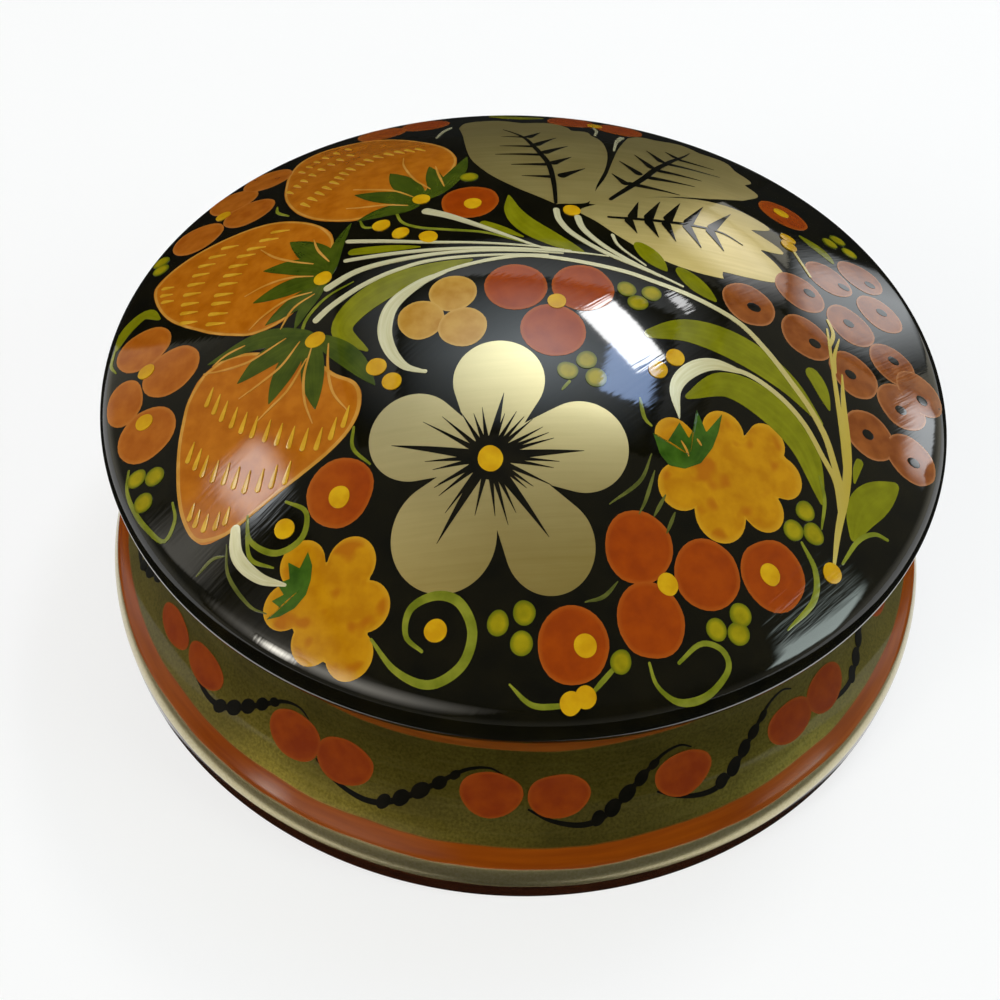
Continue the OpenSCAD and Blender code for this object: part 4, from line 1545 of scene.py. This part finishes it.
VINE_PAST = 1.5
DAB_STRETCH = 1.4
DAB_TURN = 50
first_seen = SEEN_UNITS[0][0][0]
last_seen = SEEN_UNITS[-1][-1][0]
gap = (360 + first_seen - last_seen) / (HIDDEN_COUNT + 1)
hidden_middles = [last_seen + gap * (k + 1) for k in range(HIDDEN_COUNT)]
units = SEEN_UNITS + [[(m - PAIR_HALF, BORDER_H, BERRY_TALL), (m + PAIR_HALF, BORDER_H, BERRY_TALL)]
                      for m in hidden_middles]


def at_angle(degrees):
    """Distance round the neck, which the cove's tree turns back into an angle."""
    return math.radians(degrees) * NECK_R


def border_unit(unit, following):
    """Berries at one place, and the vine with its string of dots that leads to the next."""
    for degrees, height, tall in unit:
        vine_berries.stamp(at_angle(degrees), height, tall, BERRY_WIDE / tall)
    start = unit[-1][0] - VINE_BEFORE
    span = following + VINE_PAST - start
    spine = [(at_angle(start + span * share), height) for share, height in VINE_SPINE]
    vine.draw(spine, VINE_WIDTHS, VINE_STEP)
    for share, height, radius in VINE_DOTS:
        vine_dots.stamp(at_angle(start + span * share), height, radius, DAB_STRETCH, DAB_TURN)


for unit, following in zip(units, units[1:] + units[:1]):
    wrap = 360 if following is units[0] else 0
    border_unit(unit, following[0][0] + wrap)
for name, pot, tree, tint, film_mm in (("border_berries", vine_berries, cove_blobs, "border_berry", 0.06),
                                       ("border_vine", vine, cove_strokes, "border_ink", 0.03),
                                       ("border_dots", vine_dots, cove_blobs, "border_ink", 0.05)):
    paint(name, pot, tree, paints[tint], film_mm, "box")

# %% [markdown]
# ## Floor
# The floor is plain and white. It is partly its own light, for the camera and for reflections, so that it
# is white without more light on the box, and it keeps the shadow. In the photo the far slope and the body
# mirror something dark, where this floor is white, so three dark boards do what a photographer's flags do:
# a card behind the box, a thin ring where the foot meets the floor, and round that a mat, wide in front and
# behind and narrow at both sides, where the photo's foot is paler. The camera does not see them, and they
# throw no shadow.

# %% A white floor
FLOOR_HALF = 3.0
FLOOR_GLOW = 0.74
FLOOR_TONES = (0.88, 0.92)
BOARD_ROUGH = 0.9
BOARD_GRAIN = 8


def flat_board(name, corners, faces=((0, 1, 2, 3),)):
    """One flat stage board."""
    mesh = bpy.data.meshes.new(name)
    mesh.from_pydata(corners, [], faces)
    board = linked(name, mesh)
    return board


def board_paint(name, tones):
    """A matt board colour with a faint unevenness between two greys."""
    material = bpy.data.materials.new(name)
    material.use_nodes = True
    tree = material.node_tree
    shader = tree.nodes["Principled BSDF"]
    shader.inputs["Roughness"].default_value = BOARD_ROUGH
    shader.inputs["Specular IOR Level"].default_value = 0.0
    greys = [rgb(tone, tone, tone) for tone in tones]
    tree.links.new(mix(tree, noise(tree, on_object(tree), BOARD_GRAIN), *greys),
                   shader.inputs["Base Color"])
    return material


def glow(material, share):
    """Mixes white light into a board, for the camera, for reflections and through glass only."""
    tree = material.node_tree
    path = add(tree, "ShaderNodeLightPath").outputs
    mirrored = calc(tree, "MAXIMUM", path["Is Glossy Ray"], path["Is Transmission Ray"])
    seen = calc(tree, "MAXIMUM", path["Is Camera Ray"], mirrored)
    white = add(tree, "ShaderNodeEmission", {"Color": rgb(1, 1, 1), "Strength": 1.0})
    both = add(tree, "ShaderNodeMixShader", {
        0: calc(tree, "MULTIPLY", seen, share), 1: tree.nodes["Principled BSDF"].outputs[0],
        2: white.outputs[0]})
    tree.links.new(both.outputs[0], tree.nodes["Material Output"].inputs["Surface"])


floor = flat_board("floor", [(-FLOOR_HALF, -FLOOR_HALF, 0), (FLOOR_HALF, -FLOOR_HALF, 0),
                             (FLOOR_HALF, FLOOR_HALF, 0), (-FLOOR_HALF, FLOOR_HALF, 0)])
floor.data.materials.append(board_paint("pale_floor", FLOOR_TONES))
glow(floor.data.materials[0], FLOOR_GLOW)
print("floor", 2 * FLOOR_HALF, "m")

# %% Dark boards
DARK_TONES = (0.012, 0.02)
CARD_Y = 0.2
CARD_LEFT = -0.3
CARD_RIGHT = 0.09
CARD_FOOT = 0.001
CARD_TOP = 0.2
CONTACT_INNER = 0.060
CONTACT_BESIDE = 0.064
CONTACT_OUTER = 0.071
MAT_SIDES = 96
MAT_LIFT = 0.0002
MAT_GAP = 0.006
MAT_NARROW = 0.14
MAT_WIDE = 2.8


def ring_board(name, reaches):
    """A flat ring on the floor. reaches gives its two radii, from 1 in front and behind to 0 at the sides."""
    corners = []
    faces = []
    for k in range(MAT_SIDES):
        a = math.tau * k / MAT_SIDES
        for reach in reaches(math.sin(a) ** 4):
            corners.append((reach * math.cos(a), reach * math.sin(a), MAT_LIFT))
        beside = (k + 1) % MAT_SIDES
        faces.append((2 * k, 2 * k + 1, 2 * beside + 1, 2 * beside))
    return flat_board(name, corners, faces)


def contact_reaches(ahead):
    """The thin ring of painted shadow, seen only in reflections: past the foot's edge in front and behind,
    and under it at the sides.
    """
    return CONTACT_INNER, CONTACT_BESIDE + (CONTACT_OUTER - CONTACT_BESIDE) * ahead


def mat_reaches(ahead):
    """The mat: from the ring outwards in front and behind, and from further out at the sides."""
    return CONTACT_OUTER + MAT_GAP * (1 - ahead), MAT_NARROW + (MAT_WIDE - MAT_NARROW) * ahead


# The boards are painted dark reflections that only reflections see. The card stands for something dark behind
# the box, the ring for the shadow where the foot meets the floor, and the mat for a dark table round the box.
card = flat_board("dark_card", [(CARD_LEFT, CARD_Y, CARD_FOOT), (CARD_RIGHT, CARD_Y, CARD_FOOT),
                                (CARD_RIGHT, CARD_Y, CARD_TOP), (CARD_LEFT, CARD_Y, CARD_TOP)])
contact = ring_board("painted_contact_shadow", contact_reaches)
mat = ring_board("dark_mat", mat_reaches)
for board in (card, contact, mat):
    board.data.materials.append(board_paint(board.name, DARK_TONES))
    board.visible_camera = False
    board.visible_diffuse = False
    board.visible_shadow = False
print("dark boards", [board.name for board in (card, contact, mat)])

# %% [markdown]
# ## Light
# The studio's sky is pale at the horizon, dim overhead and dimmer behind the camera. It gives the plain
# light that shows the colours as they are.

# %% World
HORIZON = 0.9
OVERHEAD = 0.21
BEHIND_CAMERA = 0.25
SKY_TINT = (1.0, 0.96, 0.80)

world = bpy.data.worlds.new("studio")
bpy.context.scene.world = world
world.use_nodes = True
tree = world.node_tree
tree.nodes.clear()
aim = parts(tree, add(tree, "ShaderNodeTexCoord").outputs["Generated"])
level = ramp(tree, aim["Z"], 0.10, 0.36, HORIZON, OVERHEAD)
facing = ramp(tree, aim["Y"], -0.6, 0.5, BEHIND_CAMERA, 1.0)
sky = add(tree, "ShaderNodeBackground", {
    "Color": rgb(*SKY_TINT), "Strength": calc(tree, "MULTIPLY", level, facing)})
tree.links.new(sky.outputs[0], add(tree, "ShaderNodeOutputWorld").inputs["Surface"])
bpy.context.scene.view_settings.view_transform = "Standard"
print("world", len(tree.nodes), "nodes")

# %% [markdown]
# Glossy black shows whatever is above it, so the panels are placed by where the photo shows their
# reflections: a bright window and a patch of blue sky behind the crown, a wide dim haze round them, and
# windows at both sides. Lamps with sharp edges make the crisp ones. The soft ones are boards that glow and
# fade towards their edges.

# %% Two kinds of panel
LID_MIDDLE = Vector((0, 0, 0.045))


def facing_lid(direction, distance, spin):
    """Place and turn of a panel that looks at the lid from a direction, turned by spin in its own plane."""
    away = Vector(direction).normalized()
    side = Vector((0, 0, 1)).cross(away).normalized()
    rise = away.cross(side)
    turned_side = math.cos(math.radians(spin)) * side + math.sin(math.radians(spin)) * rise
    basis = Matrix((turned_side, away.cross(turned_side), away)).transposed().to_4x4()
    return Matrix.Translation(LID_MIDDLE + away * distance) @ basis


def sharp_panel(name, width, height, radiance, tint):
    """A rectangular lamp with sharp edges, as bright as its reflection needs."""
    lamp = bpy.data.lights.new(name, "AREA")
    lamp.shape = "RECTANGLE"
    lamp.size = width
    lamp.size_y = height
    lamp.energy = radiance * math.pi * width * height
    lamp.color = tint
    return linked(name, lamp)


def soft_panel(name, width, height, radiance, tint, soft):
    """A glowing board whose light fades out over the outer share of its width and height."""
    x, y = width / 2, height / 2
    board = flat_board(name, [(-x, -y, 0), (x, -y, 0), (x, y, 0), (-x, y, 0)])
    material = bpy.data.materials.new(name)
    material.use_nodes = True
    tree = material.node_tree
    tree.nodes.clear()
    where = parts(tree, on_object(tree))
    fades = []
    for axis, half in (("X", x), ("Y", y)):
        out = calc(tree, "DIVIDE", calc(tree, "ABSOLUTE", where[axis]), half)
        fades.append(ramp(tree, out, 1 - soft, 1.0, 1.0, 0.0))
    strength = calc(tree, "MULTIPLY", calc(tree, "MULTIPLY", *fades), radiance)
    light = add(tree, "ShaderNodeEmission", {"Color": rgb(*tint), "Strength": strength})
    tree.links.new(light.outputs[0], add(tree, "ShaderNodeOutputMaterial").inputs["Surface"])
    board.data.materials.append(material)
    return board

# %% Panels where the photo shows them
WHITE = (1, 1, 1)
WARM = (1.0, 0.95, 0.84)
COOL = (0.92, 0.97, 1.0)
PALE_BLUE = (0.84, 0.94, 1.0)
SKY_BLUE = (0.42, 0.60, 1.0)
GREENISH = (0.85, 1.0, 0.95)
for name, direction, distance, width, height, radiance, tint, spin, soft in (
        ("window_bright", (0.285, 0.50, 0.818), 0.95, 0.26, 0.125, 22, WHITE, -18, None),
        ("window_sky", (0.325, 0.355, 0.877), 1.0, 0.17, 0.21, 9, SKY_BLUE, 35, None),
        ("window_pane", (0.415, 0.649, 0.638), 1.0, 0.065, 0.04, 10, WHITE, 0, None),
        ("front_fill", (-0.54, -0.62, 0.57), 1.6, 1.9, 1.5, 3.8, WARM, 0, 0.9),
        ("haze", (0.0, 0.50, 0.866), 1.1, 1.45, 1.05, 1.6, COOL, 0, 0.7),
        ("window_haze", (0.02, 0.40, 0.916), 1.05, 0.96, 0.72, 3.4, PALE_BLUE, 0, 0.9),
        ("back_window", (0.44, 0.845, 0.30), 1.2, 0.56, 0.42, 2.2, WHITE, -12, 0.6),
        ("left_window", (-0.737, 0.093, 0.670), 1.1, 0.08, 0.30, 6, COOL, -48, 0.5),
        ("left_haze", (-0.80, 0.03, 0.60), 1.2, 0.42, 0.30, 1.4, WARM, 76, 0.7),
        ("low_left_window", (-0.719, -0.539, 0.437), 1.1, 0.24, 0.60, 26, WARM, 12, 0.9),
        ("right_window", (0.856, -0.243, 0.456), 1.2, 0.85, 0.45, 6, GREENISH, 60, 0.25),
        ("right_back_wall", (0.635, 0.764, 0.117), 1.2, 0.60, 0.26, 2.0, COOL, -60, 0.6),
        ("right_streak", (0.816, 0.491, 0.305), 1.2, 0.36, 0.06, 5, COOL, -40, 0.5)):
    if soft is None:
        holder = sharp_panel(name, width, height, radiance, tint)
    else:
        holder = soft_panel(name, width, height, radiance, tint, soft)
    holder.matrix_world = facing_lid(direction, distance, spin)
    holder.visible_camera = False
print("sharp lamps", len(bpy.data.lights))
